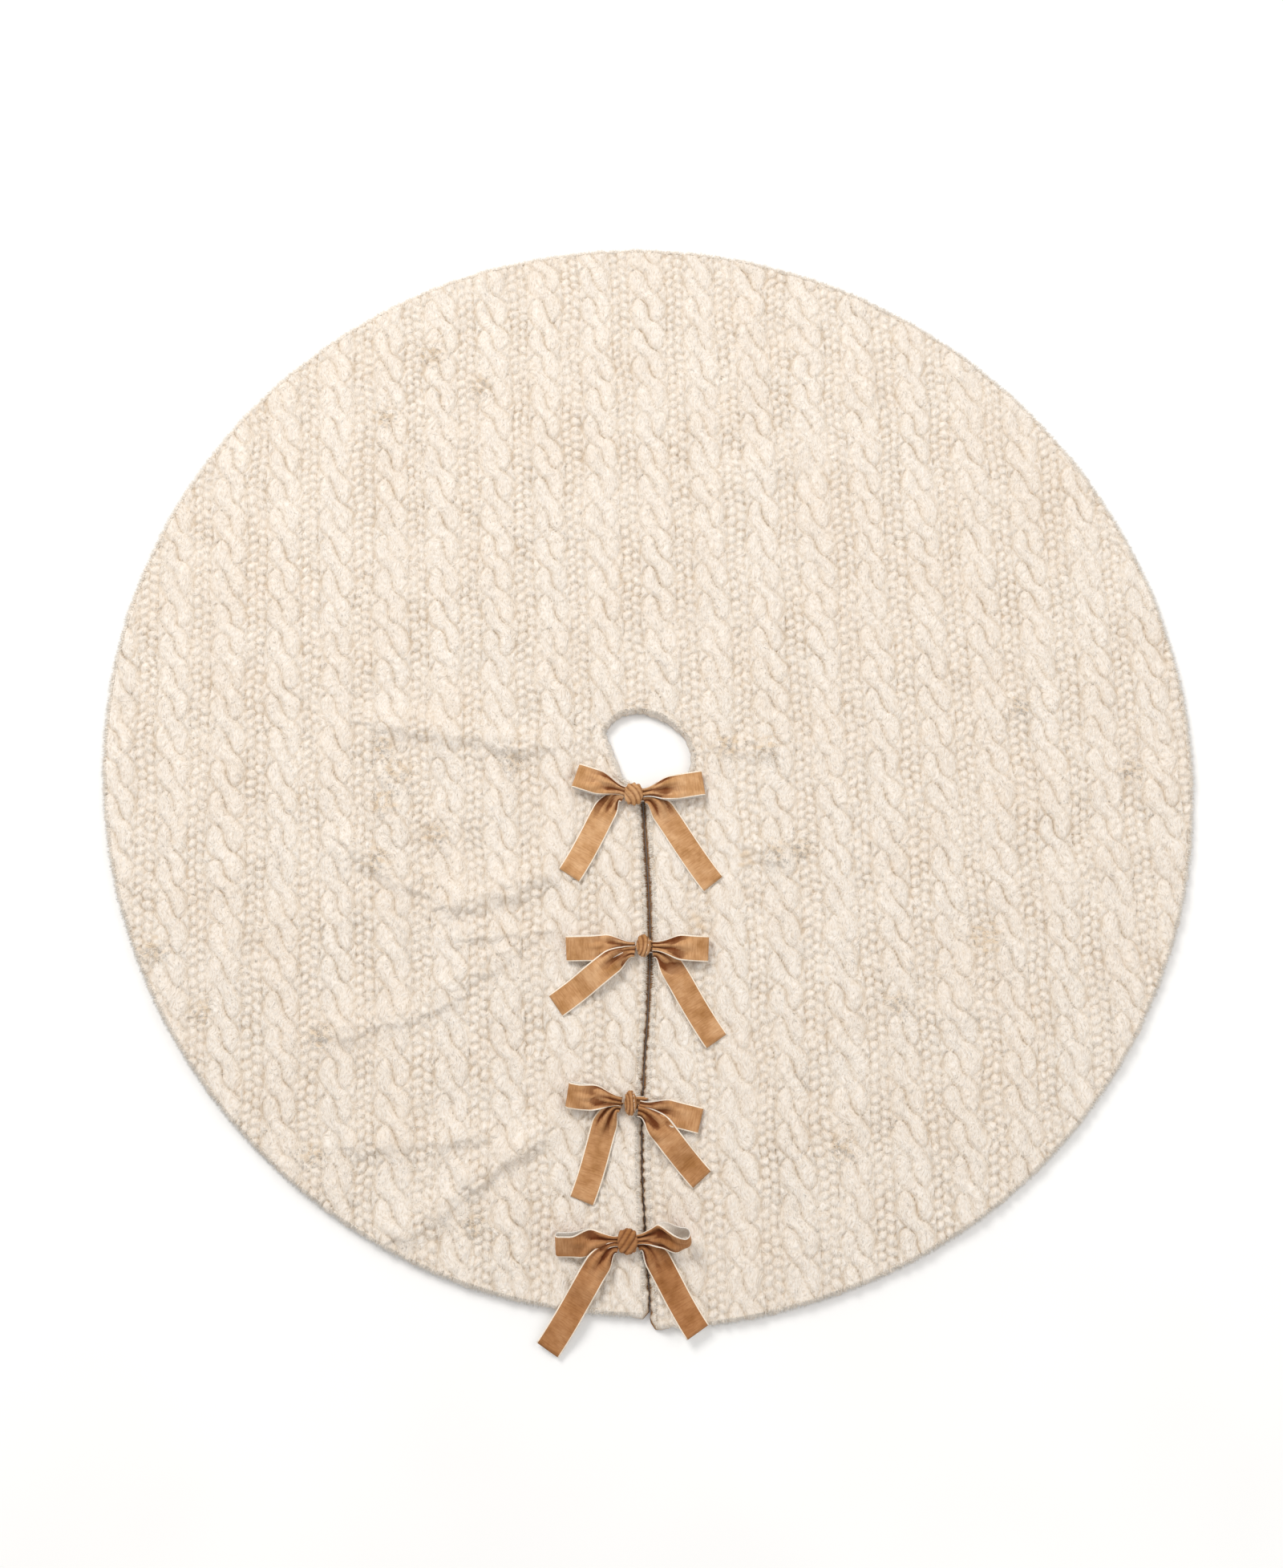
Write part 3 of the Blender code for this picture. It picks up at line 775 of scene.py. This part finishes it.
def buildLining():
    cell = lining["cell"]
    inset = cloth["hemWidth"] + lining["gap"]
    place, cells = clothGrid(np.array([cell, 0.0]), np.array([0.0, cell]), np.zeros(2), inset)[:2]
    at = np.column_stack([place + centre, np.full(len(place), lining["lift"])])
    mesh = meshFromArrays("lining", at, cells)
    piece = addPiece("lining", mesh, [liningMaterial])
    thick = piece.modifiers.new("thickness", "SOLIDIFY")
    thick.thickness = lining["thickness"]
    thick.offset = 1.0
    applyModifiers(piece)
    return piece


liningPiece = buildLining()
blendAcrossFold(liningPiece)
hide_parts("lining_front_left", "lining_front_right", "lining_back")
print("lining done")


# ---- Ribbon bows
# Cotton velvet ribbon with a pale woven edge on both sides, tied over the slit by ends sewn to the cloth.
ribbon = {
    "width": 0.028,
    "thickness": 0.0008,
    "solidThickness": 0.0012,
    "gatheredWidth": 0.010,  # where it goes into the knot
    "gatherLength": 0.030,
    "stitchedWidth": 0.014,
    "selvedge": 0.0013,
    "startHeight": 0.0052,  # heights here are over the fur
    "layerStep": 0.0018,
    "loopMouth": 0.0028,
    "restHeight": 0.0011,
    "lowLoopRise": 0.0058,
    "fullLoopRise": 0.0090,
    "tipShare": 0.8,
    "tailStart": 0.006,
    "tailBend": 0.016,
    "tailStraight": 0.55,
    "tailDroop": 0.008,
    "droopLength": 0.040,
    "upperDelay": 0.3,
    "intoKnot": 0.003,
    "step": 0.0022,
    "pleatHeight": 0.0029,
    "rumple": 0.0026,
}
knot = {
    "half": np.array([0.0115, 0.0125, 0.0065]),
    "lift": 0.0042,
    "toRibbon": 0.0010,
    "firstFromHole": 0.0075,
    "lastFromEdge": 0.082,
    "shares": (0.0, 0.351, 0.702, 1.0),
}
# Loops: direction and length from the knot's middle, sideways roll, and how open.
# Tails: direction and length from the knot's middle, and whether they lie over the loop.
# Knots: size against the usual one, slant of the wraps, wrap spacing and half width of the outer wrap.
# Each bow's velvet gets painted shade, darker towards the bottom bows, standing in for light falloff and the
# nap's direction.
bows = (
    {"knotX": -0.015, "paintedVelvetShade": 0.0, "knotShape": (1.08, 1.0, 0.60, 0.0074, 0.0062),
     "left": {"loop": (161.5, 0.068, 0, 1.0), "tail": (231.5, 0.114, False)},
     "right": {"loop": (9.5, 0.078, 0, 1.0), "tail": (-48.5, 0.132, False)}},
    {"knotX": -0.004, "paintedVelvetShade": 0.15, "knotShape": (0.88, 0.9, -0.12, 0.0052, 0.0046),
     "left": {"loop": (181.5, 0.084, 14, 1.0), "tail": (214.0, 0.115, True)},
     "right": {"loop": (-2.5, 0.070, 6, 1.0), "tail": (-52.5, 0.129, False)}},
    {"knotX": -0.018, "paintedVelvetShade": 0.35, "knotShape": (0.74, 0.98, 0.10, 0.0048, 0.0040),
     "left": {"loop": (171.5, 0.068, 16, 1.0), "tail": (243.0, 0.114, False)},
     "right": {"loop": (-14.0, 0.077, 0, 1.0), "tail": (-46.5, 0.110, True)}},
    {"knotX": -0.021, "paintedVelvetShade": 0.75, "knotShape": (1.10, 1.10, -0.75, 0.0084, 0.0052),
     "left": {"loop": (181.0, 0.075, 38, 1.3), "tail": (233.0, 0.139, True)},
     "right": {"loop": (9.5, 0.066, 66, 1.8), "tail": (-51.5, 0.118, False)}},
)
hingeHeight = ribbon["startHeight"] + ribbon["layerStep"] + ribbon["loopMouth"]
hingeHeight += ribbon["solidThickness"] / 2


def widthAt(distance):
    spread = smoothStep(distance, 0.0, ribbon["gatherLength"])
    return ribbon["gatheredWidth"] + (ribbon["width"] - ribbon["gatheredWidth"]) * spread


# The loop leaves the knot, lies on the fur, turns back at its tip and returns above itself.
def loopStations(length, roll, upper, openness):
    lift = ribbon["layerStep"] if upper else 0.0
    rise = (ribbon["fullLoopRise"] if upper else ribbon["lowLoopRise"]) * openness
    rest, start, share = ribbon["restHeight"], ribbon["startHeight"], ribbon["tipShare"]
    tip = rise * share / 2
    straight = length - tip
    waited = ribbon["upperDelay"] * ribbon["width"] if upper else 0.0
    run = np.linspace(-ribbon["intoKnot"], straight, int(straight / ribbon["step"]))
    low = start + lift + (rest - start) * smoothStep(run - waited, 0.012, 0.038)
    crown = rise * (1 - (1 - share) * smoothStep(run, 0.030, straight))
    mouth = start + lift + ribbon["loopMouth"]
    high = mouth + (rest + lift + crown - mouth) * smoothStep(run, 0.004, 0.030)
    turn = np.linspace(0, math.pi, 13)[1:-1]
    x = np.concatenate([run, straight + tip * np.sin(turn), run[::-1]])
    level = np.concatenate([low, rest + lift + tip - tip * np.cos(turn), high[::-1]])
    width = widthAt(x)
    rolled = math.radians(roll) * smoothStep(x, 0.022, 0.048)
    base = level - rest - lift
    raised = rest + lift + base * np.cos(rolled) + width / 2 * np.abs(np.sin(rolled))
    middle = np.column_stack([x, -base * np.sin(rolled), raised - hingeHeight])
    sideways = np.column_stack([np.zeros_like(x), np.cos(rolled), np.sin(rolled)])
    calm = np.where(np.arange(len(x)) < len(run), 0.2, 1.0)  # the lower run lies flat under the upper one
    return middle, sideways, width, np.abs(x), calm


# The tail leaves the knot beside the loop, bends to its own direction and settles on the fur.
def tailStations(end, way, over, droopAt):
    start = np.array([0.0, way * ribbon["tailStart"]])
    reach = end - start
    bend = start + [ribbon["tailBend"], 0.0]
    aim = end - reach * ribbon["tailStraight"]
    first = ribbon["startHeight"] + (ribbon["layerStep"] + ribbon["loopMouth"] if over else 0.0)
    near, far = (0.050, 0.080) if over else (0.012, 0.038)
    count = int(np.hypot(*end) / ribbon["step"])
    t = np.linspace(-ribbon["intoKnot"] / (3 * ribbon["tailBend"]), 1, count)[:, None]
    place = start * (1 - t) ** 3 + bend * 3 * t * (1 - t) ** 2 + aim * 3 * t * t * (1 - t) + end * t ** 3
    along = (bend - start) * (1 - t) ** 2 + (aim - bend) * 2 * t * (1 - t) + (end - aim) * t * t
    away = np.hypot(place[:, 0], place[:, 1])
    level = first + (ribbon["restHeight"] - first) * smoothStep(away, near, far) - droopAt(place)
    middle = np.column_stack([place, level - hingeHeight])
    sideways = np.column_stack([-along[:, 1], along[:, 0], np.zeros(count)])
    return middle, sideways, widthAt(away), away, np.ones(count)


# The sewn end comes up out of the slit, bends over the edge of the fur and runs in under the knot.
def stitchedStations(side, knotX, y, level):
    edge = slitMiddle(y) + side * slit["gap"] / 2 - side * (0.001 + ribbon["solidThickness"] / 2)
    over = cloth["furHeight"] + ribbon["restHeight"] + level
    bend = 0.0022
    run = min(knotX + side * knot["half"][0] / 4 - edge, -2 * bend)
    turn = np.linspace(0, math.pi / 2, 7)
    inward = np.linspace(edge - bend, edge + run, 5)[1:]
    x = np.concatenate([[edge, edge], edge - bend * (1 - np.cos(turn)), inward])
    z = np.concatenate([[0.0045, 0.008], over - bend * (1 - np.sin(turn)), np.full(4, over)])
    middle = np.column_stack([x, np.full(len(x), y), z])
    sideways = np.tile([0.0, 1.0, 0.0], (len(x), 1))
    return middle, sideways, np.full(len(x), ribbon["stitchedWidth"]), np.ones(len(x)), np.ones(len(x))


# The ribbon's mesh on its stations. face is 1 where the velvet is on the side of along x sideways.
def bandMesh(name, stations, face, seed):
    middle, sideways, width, away, lively = stations
    full = ribbon["width"]
    sideways = sideways / np.linalg.norm(sideways, axis=1, keepdims=True)
    along = np.gradient(middle, axis=0)
    normal = np.cross(along, sideways)
    normal /= np.maximum(np.linalg.norm(normal, axis=1, keepdims=True), 1e-9)
    inner = 0.5 - ribbon["selvedge"] / full
    across = np.concatenate([[-0.5], np.linspace(-inner, inner, 19), [0.5]])
    travelled = np.concatenate([[0], np.cumsum(np.linalg.norm(np.diff(middle, axis=0), axis=1))])
    s, length = np.meshgrid(across, travelled)
    gathered = np.clip(1 - (width / full - 0.36) / 0.64, 0, 1)[:, None]
    near = away[:, None]
    wave = math.pi * (2.4 * s + 0.16 * np.sin(length * 90 + seed) + 0.12 * seed)
    pleats = 1.05 - 1.5 * np.abs(np.sin(wave)) ** 0.8 + 0.30 * np.cos(3.1 * wave + seed)
    folds = np.clip(softNoise(s * 0.050 + seed, near * 0.6, 0.020, seed + 40, 8), -0.5, 2)
    waves = softNoise(s * 0.020 + seed, length, 0.060, seed + 80, 6)
    # the sewn ends, whose distance is given as 1, are tucked narrow all along
    tucks = ribbon["pleatHeight"] * np.where(near > 0.9, 1.1, gathered ** 0.6)
    height = tucks * pleats
    height += ribbon["rumple"] * folds * np.exp(-((near - 0.022) / 0.017) ** 2) * (near < 0.9)
    height += 0.0004 * waves * smoothStep(near, 0.01, 0.04) * (near < 0.9)
    height *= lively[:, None]
    # painted shade: darker in the deep creases of the gathered pleats and in the rumples near the knot
    deep = np.abs(np.sin(wave)) ** 6 * gathered ** 0.5 * smoothStep(0.5 - np.abs(s), 0.02, 0.08)
    rumpled = smoothStep(-folds, 0.1, 0.5) * np.exp(-((near - 0.022) / 0.014) ** 2)
    foldDepthAndShade = np.clip(1.3 * deep + 0.9 * rumpled, 0, 1) * (near < 0.9)
    flatPlaces = middle[:, None] + sideways[:, None] * (s * width[:, None])[..., None]
    # folds stand out on the velvet side
    points = flatPlaces + normal[:, None] * (face * height)[..., None]
    rows, columns = s.shape
    number = np.arange(rows * columns).reshape(rows, columns)
    quads = np.stack([number[:-1, :-1], number[1:, :-1], number[1:, 1:], number[:-1, 1:]], -1).reshape(-1, 4)
    if face < 0:
        quads = quads[:, ::-1]
    mesh = meshFromArrays(name, points.reshape(-1, 3), quads)
    setAttribute(mesh, "foldDepthAndShade", foldDepthAndShade.ravel())
    weave = mesh.uv_layers.new(name="ribbonWeave")
    flat = np.stack([length.ravel(), (s * full).ravel()], 1)[quads.ravel()]
    weave.data.foreach_set("uv", flat.astype(np.float32).ravel())
    onEdge = np.zeros((rows - 1, columns - 1), np.int32)
    onEdge[:, [0, -1]] = 1
    return mesh, onEdge.ravel(), float(travelled[-1])


def makeVelvetMaterial():
    # Cotton velvet ribbon: short brushed pile with faint cross ribs and a cloudy tone, and painted shade
    # that darkens the lower bows and the right tails.
    made, tree, shader = newMaterial("tanCottonVelvet")
    weave = addNode(tree, "ShaderNodeUVMap", uv_map="ribbonWeave").outputs["UV"]
    place = addNode(tree, "ShaderNodeTexCoord").outputs["Object"]
    # 1.4 mm cross ribs and 4 mm slubs, coarser than the real weave so that they show
    ribbed = addNode(tree, "ShaderNodeMapping", {"Vector": weave, "Scale": (1 / 0.0014, 1 / 0.012, 1.0)})
    ribs = addNode(tree, "ShaderNodeTexNoise", {"Vector": ribbed.outputs["Vector"], "Scale": 1.0,
                   "Detail": 2.0, "Roughness": 0.6}).outputs["Fac"]
    clouds = addNode(tree, "ShaderNodeTexNoise", {"Vector": place, "Scale": 1 / 0.022, "Detail": 4.0,
                     "Roughness": 0.6}).outputs["Fac"]
    tone = addRamp(tree, clouds, [(0.30, "#B2814F"), (0.50, "#CE9E6F"), (0.68, "#E0B487")])
    ribTone = addRamp(tree, ribs, [(0.25, "#D6C8BC"), (0.60, "#FFFFFF")])
    mixed = addNode(tree, "ShaderNodeMixRGB", {"Fac": 0.7, "Color1": tone, "Color2": ribTone},
                    blend_type="MULTIPLY").outputs["Color"]
    # painted shade: darker on the lower bows, standing in for the light's falloff and the nap's direction
    paintedVelvetShade = addNode(tree, "ShaderNodeAttribute", attribute_name="paintedVelvetShade").outputs["Fac"]
    mixed = addNode(tree, "ShaderNodeMixRGB",
                    {"Fac": paintedVelvetShade, "Color1": mixed, "Color2": toLinear("#D2BBA6")},
                    blend_type="MULTIPLY").outputs["Color"]
    # painted shade in the folds and pleat creases
    foldDepthAndShade = addNode(tree, "ShaderNodeAttribute", attribute_name="foldDepthAndShade").outputs["Fac"]
    mixed = addNode(tree, "ShaderNodeMixRGB",
                    {"Fac": foldDepthAndShade, "Color1": mixed, "Color2": toLinear("#957052")},
                    blend_type="MULTIPLY").outputs["Color"]
    tree.links.new(mixed, shader.inputs["Base Color"])
    bump = addNode(tree, "ShaderNodeBump", {"Height": ribs, "Strength": 0.35, "Distance": 0.0004})
    tree.links.new(bump.outputs["Normal"], shader.inputs["Normal"])
    shader.inputs["Roughness"].default_value = 0.85
    shader.inputs["Specular IOR Level"].default_value = 0.2
    shader.inputs["Sheen Weight"].default_value = 0.35
    shader.inputs["Sheen Roughness"].default_value = 0.35
    shader.inputs["Sheen Tint"].default_value = toLinear("#F2C79A")
    return made


def makeRibbonBackMaterial(name, low, high):
    # Plain-woven back of the ribbon, bare of pile: pale, smooth and slightly silky.
    made, tree, shader = newMaterial(name)
    weave = addNode(tree, "ShaderNodeUVMap", uv_map="ribbonWeave").outputs["UV"]
    fine = addNode(tree, "ShaderNodeMapping", {"Vector": weave, "Scale": (1 / 0.0010, 1 / 0.0025, 1.0)})
    threads = addNode(tree, "ShaderNodeTexNoise", {"Vector": fine.outputs["Vector"], "Scale": 1.0})
    threads = threads.outputs["Fac"]
    tree.links.new(addRamp(tree, threads, [(0.3, low), (0.7, high)]), shader.inputs["Base Color"])
    bump = addNode(tree, "ShaderNodeBump", {"Height": threads, "Strength": 0.3, "Distance": 0.0003})
    tree.links.new(bump.outputs["Normal"], shader.inputs["Normal"])
    shader.inputs["Roughness"].default_value = 0.55
    shader.inputs["Sheen Weight"].default_value = 0.1
    return made


velvetMaterial = makeVelvetMaterial()
selvedgeMaterial = makeRibbonBackMaterial("wovenSelvedge", "#ECD9C0", "#FBEFDF")
ribbonBackMaterial = makeRibbonBackMaterial("plainRibbonBack", "#D9CFC4", "#EFE8DF")


def addBand(name, stations, face, seed, body, paintedVelvetShade):
    mesh, onEdge, length = bandMesh(name, stations, face, seed)
    setAttribute(mesh, "paintedVelvetShade", np.full(len(mesh.vertices), paintedVelvetShade))
    piece = addPiece(name + "_ribbon", mesh, [velvetMaterial, selvedgeMaterial, ribbonBackMaterial])
    mesh.polygons.foreach_set("material_index", onEdge)
    thick = piece.modifiers.new("thickness", "SOLIDIFY")
    thick.thickness = ribbon["thickness"]
    thick.offset = 0.0
    thick.material_offset = 2
    thick.material_offset_rim = 1
    applyModifiers(piece)
    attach(piece, body)
    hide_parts(name)
    return piece


# The knot: ribbon wrapped over itself in pleats that run round it, with the outer wrap's edge showing.
def addKnot(name, middle, shape, seed):
    wide, tall, slant, spacing, outerHalf = shape
    half = knot["half"] * [wide, tall, 1.0]
    around, along = ((72, 48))
    u = np.linspace(0, 2 * math.pi, around, endpoint=False)
    v = np.sin(np.linspace(-math.pi / 2, math.pi / 2, along))
    vv, uu = np.meshgrid(v, u, indexing="ij")
    ring = np.sqrt(np.clip(1 - vv ** 2, 0, 1))
    x = half[0] * vv
    y = half[1] * ring * np.sign(np.cos(uu)) * np.abs(np.cos(uu)) ** 0.9
    z = half[2] * ring * np.sign(np.sin(uu)) * np.abs(np.sin(uu)) ** 0.9
    slanted = x + slant * y * np.sign(z + 1e-6) + 0.0009 * np.sin(uu * 2 + 1)
    slanted = slanted + 0.0008 * np.sin(uu * 2 + 260 * x + seed)
    foldDepthAndShade = np.abs(np.remainder(slanted / spacing + 0.35, 1.0) * 2 - 1)
    puff = 0.0026 * (1 - foldDepthAndShade ** 1.8) * ring ** 2
    outer = smoothStep(outerHalf - np.abs(slanted), -0.0005, 0.0005)
    puff = puff * (0.75 + 0.25 * outer) + 0.0007 * outer - 0.0020
    length = np.sqrt((x / half[0] ** 2) ** 2 + (y / half[1] ** 2) ** 2 + (z / half[2] ** 2) ** 2)
    length = np.maximum(length, 1e-9)
    x, y, z = (c + puff * c / h ** 2 / length for c, h in zip((x, y, z), half))
    points = np.stack([x, y, z], -1)[1:-1].reshape(-1, 3)
    ends = np.array([[-half[0] + 0.0004, 0, 0], [half[0] - 0.0004, 0, 0]])
    rows = along - 2
    number = np.arange(rows * around).reshape(rows, around)
    turned = np.roll(number, -1, 1)
    quads = np.stack([number[:-1], turned[:-1], turned[1:], number[1:]], -1).reshape(-1, 4)
    mesh = bpy.data.meshes.new(name)
    first, last = rows * around, rows * around + 1
    fans = [(first, int(b), int(a)) for a, b in zip(number[0], turned[0])]
    fans += [(last, int(a), int(b)) for a, b in zip(number[-1], turned[-1])]
    places = np.concatenate([points, ends]) + middle
    mesh.from_pydata(places.tolist(), [], quads[:, ::-1].tolist() + [f[::-1] for f in fans])
    piece = addPiece(name + "_wrapped", mesh, [velvetMaterial, selvedgeMaterial])
    weave = mesh.uv_layers.new(name="ribbonWeave")
    flat = np.zeros((len(places), 2), np.float32)
    flat[:first, 0] = (uu[1:-1] * half[1]).ravel()
    flat[:first, 1] = x[1:-1].ravel()
    corners = np.zeros(len(mesh.loops), np.int32)
    mesh.loops.foreach_get("vertex_index", corners)
    weave.data.foreach_set("uv", flat[corners].ravel())
    edge = (np.abs(slanted[1:-1] - outerHalf) < 0.0004).ravel()
    edge = np.concatenate([edge, [False, False]])
    picked = np.zeros(len(mesh.polygons), np.int32)
    picked[:len(quads)] = edge[quads].sum(1) > 2
    mesh.polygons.foreach_set("material_index", picked)
    # painted shade, darker down in the knot's pleats
    setAttribute(mesh, "foldDepthAndShade", np.concatenate([(foldDepthAndShade[1:-1] ** 3 * 0.8).ravel(), [0.5, 0.5]]))
    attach(piece, "front_half")
    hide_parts(name)
    return piece


firstKnot = -(float(holeRadius(np.array(-math.pi / 2))) + knot["firstFromHole"])
lastKnot = -(float(rimRadius(np.array(-math.pi / 2), 0)) - knot["lastFromEdge"])
for number, bow in enumerate(bows, 1):
    knotY = firstKnot + (lastKnot - firstKnot) * knot["shares"][number - 1]
    knotZ = cloth["furHeight"] + knot["lift"] + knot["half"][2]
    middle = np.array([bow["knotX"], knotY + centre[1], knotZ])
    knotPiece = addKnot("bow_%d_knot" % number, middle, bow["knotShape"], number)
    setAttribute(knotPiece.data, "paintedVelvetShade", np.full(len(knotPiece.data.vertices), bow["paintedVelvetShade"]))
    for side, word in ((-1, "left"), (1, "right")):
        name = "bow_%d_%s_" % (number, word)
        overOther = ribbon["layerStep"] if side > 0 else 0.0
        stations = list(stitchedStations(side, bow["knotX"], knotY, overOther))
        stations[0] = stations[0] + [centre[0], centre[1], 0.0]
        addBand(name + "stitched_end", stations, -1, number, "front_half",
                bow["paintedVelvetShade"])
        loopAngle, loopLength, roll, openness = bow[word]["loop"]
        tailAngle, tailLength, over = bow[word]["tail"]
        turn = math.radians(loopAngle)
        ahead = np.array([math.cos(turn), math.sin(turn)])
        left = np.array([-ahead[1], ahead[0]])
        fromKnot = knot["half"][0] + knot["toRibbon"]
        hinge = np.append(middle[:2] + ahead * fromKnot, cloth["furHeight"] + hingeHeight)

        def placed(stations):
            spot, sideways, width, away, lively = stations
            axes = np.array([[*ahead, 0.0], [*left, 0.0], [0.0, 0.0, 1.0]])
            return hinge + spot @ axes, sideways @ axes, width, away, lively

        def droopAt(place):
            spot = hinge[:2] - centre + np.outer(place[:, 0], ahead) + np.outer(place[:, 1], left)
            past = np.hypot(spot[:, 0], spot[:, 1]) - rimRadius(np.arctan2(spot[:, 1], spot[:, 0]), side)
            return ribbon["tailDroop"] * smoothStep(past, 0.004, 0.004 + ribbon["droopLength"])

        loop = placed(loopStations(loopLength - fromKnot, side * roll, not over, openness))
        addBand(name + "loop", loop, -1, 10 * number + side + 1, name + "loop",
                bow["paintedVelvetShade"])
        swing = math.radians(tailAngle) - turn
        end = np.array([math.cos(swing), math.sin(swing)]) * tailLength - [fromKnot, 0.0]
        tail = placed(tailStations(end, -side, over, droopAt))
        # the right tails get a little more painted shade
        addBand(name + "tail", tail, 1, 10 * number + side + 6, name + "tail",
                bow["paintedVelvetShade"] + (0.15 if side > 0 else 0.0))
print("bows done")

# ---- Floor, light and camera

studio = {
    "floorColour": "#FBFAF9",
    "floorHalf": 6.0,
    "skyColour": "#FFFFFF",
    "skyStrength": 0.63,
    "keyPlace": (-1.6, 2.1, 3.2),
    "keySize": 1.7,
    "keyPower": 88.0,
    "fillPlace": (2.2, 0.6, 2.8),
    "fillSize": 2.4,
    "fillPower": 26.0,
    "lightColour": "#FFFDFA",
}
view = {
    "distance": 1.80,
    "fromVertical": math.radians(11.2),
    "aim": (-0.0064, -0.0175),
    "lens": 45.0,
}


def makeFloorMaterial():
    # Matt painted studio board: plain, with the faintest mottling
    made, tree, shader = newMaterial("paleStudioFloor")
    place = addNode(tree, "ShaderNodeTexCoord").outputs["Object"]
    mottle = addNode(tree, "ShaderNodeTexNoise", {"Vector": place, "Scale": 3.0}).outputs["Fac"]
    tree.links.new(addRamp(tree, mottle, [(0.3, studio["floorColour"]), (0.7, "#FEFEFD")]),
                   shader.inputs["Base Color"])
    shader.inputs["Roughness"].default_value = 0.9
    return made


def addLight(name, place, size, power, aim=(0.0, 0.0, 0.0)):
    lamp = bpy.data.lights.new(name, "AREA")
    lamp.shape = "DISK"
    lamp.size = size
    lamp.energy = power
    lamp.color = toLinear(studio["lightColour"])[:3]
    made = bpy.data.objects.new(name, lamp)
    scene.collection.objects.link(made)
    made.location = place
    made.rotation_euler = (Vector(aim) - Vector(place)).to_track_quat("-Z", "Y").to_euler()
    return made


bpy.ops.object.select_all(action="DESELECT")
bpy.ops.mesh.primitive_plane_add(size=2 * studio["floorHalf"], location=(0, 0, -0.0006))
floor = bpy.context.active_object
floor.name = "studio_floor"
floor.data.materials.append(makeFloorMaterial())
floor.select_set(False)

addLight("key_light", studio["keyPlace"], studio["keySize"], studio["keyPower"])
addLight("fill_light", studio["fillPlace"], studio["fillSize"], studio["fillPower"])
world = bpy.data.worlds.new("studio")
scene.world = world
world.use_nodes = True
sky = world.node_tree.nodes["Background"]
sky.inputs["Color"].default_value = toLinear(studio["skyColour"])
sky.inputs["Strength"].default_value = studio["skyStrength"]
scene.view_settings.view_transform = "Standard"

lens = bpy.data.cameras.new("camera")
lens.sensor_fit = "HORIZONTAL"
lens.sensor_width = 36.0
lens.lens = view["lens"]
camera = bpy.data.objects.new("camera", lens)
scene.collection.objects.link(camera)
back = view["distance"] * math.sin(view["fromVertical"])
above = view["distance"] * math.cos(view["fromVertical"])
camera.location = (view["aim"][0], view["aim"][1] - back, above)
camera.rotation_euler = (view["fromVertical"], 0.0, 0.0)
scene.camera = camera
print("floor, light and camera done")
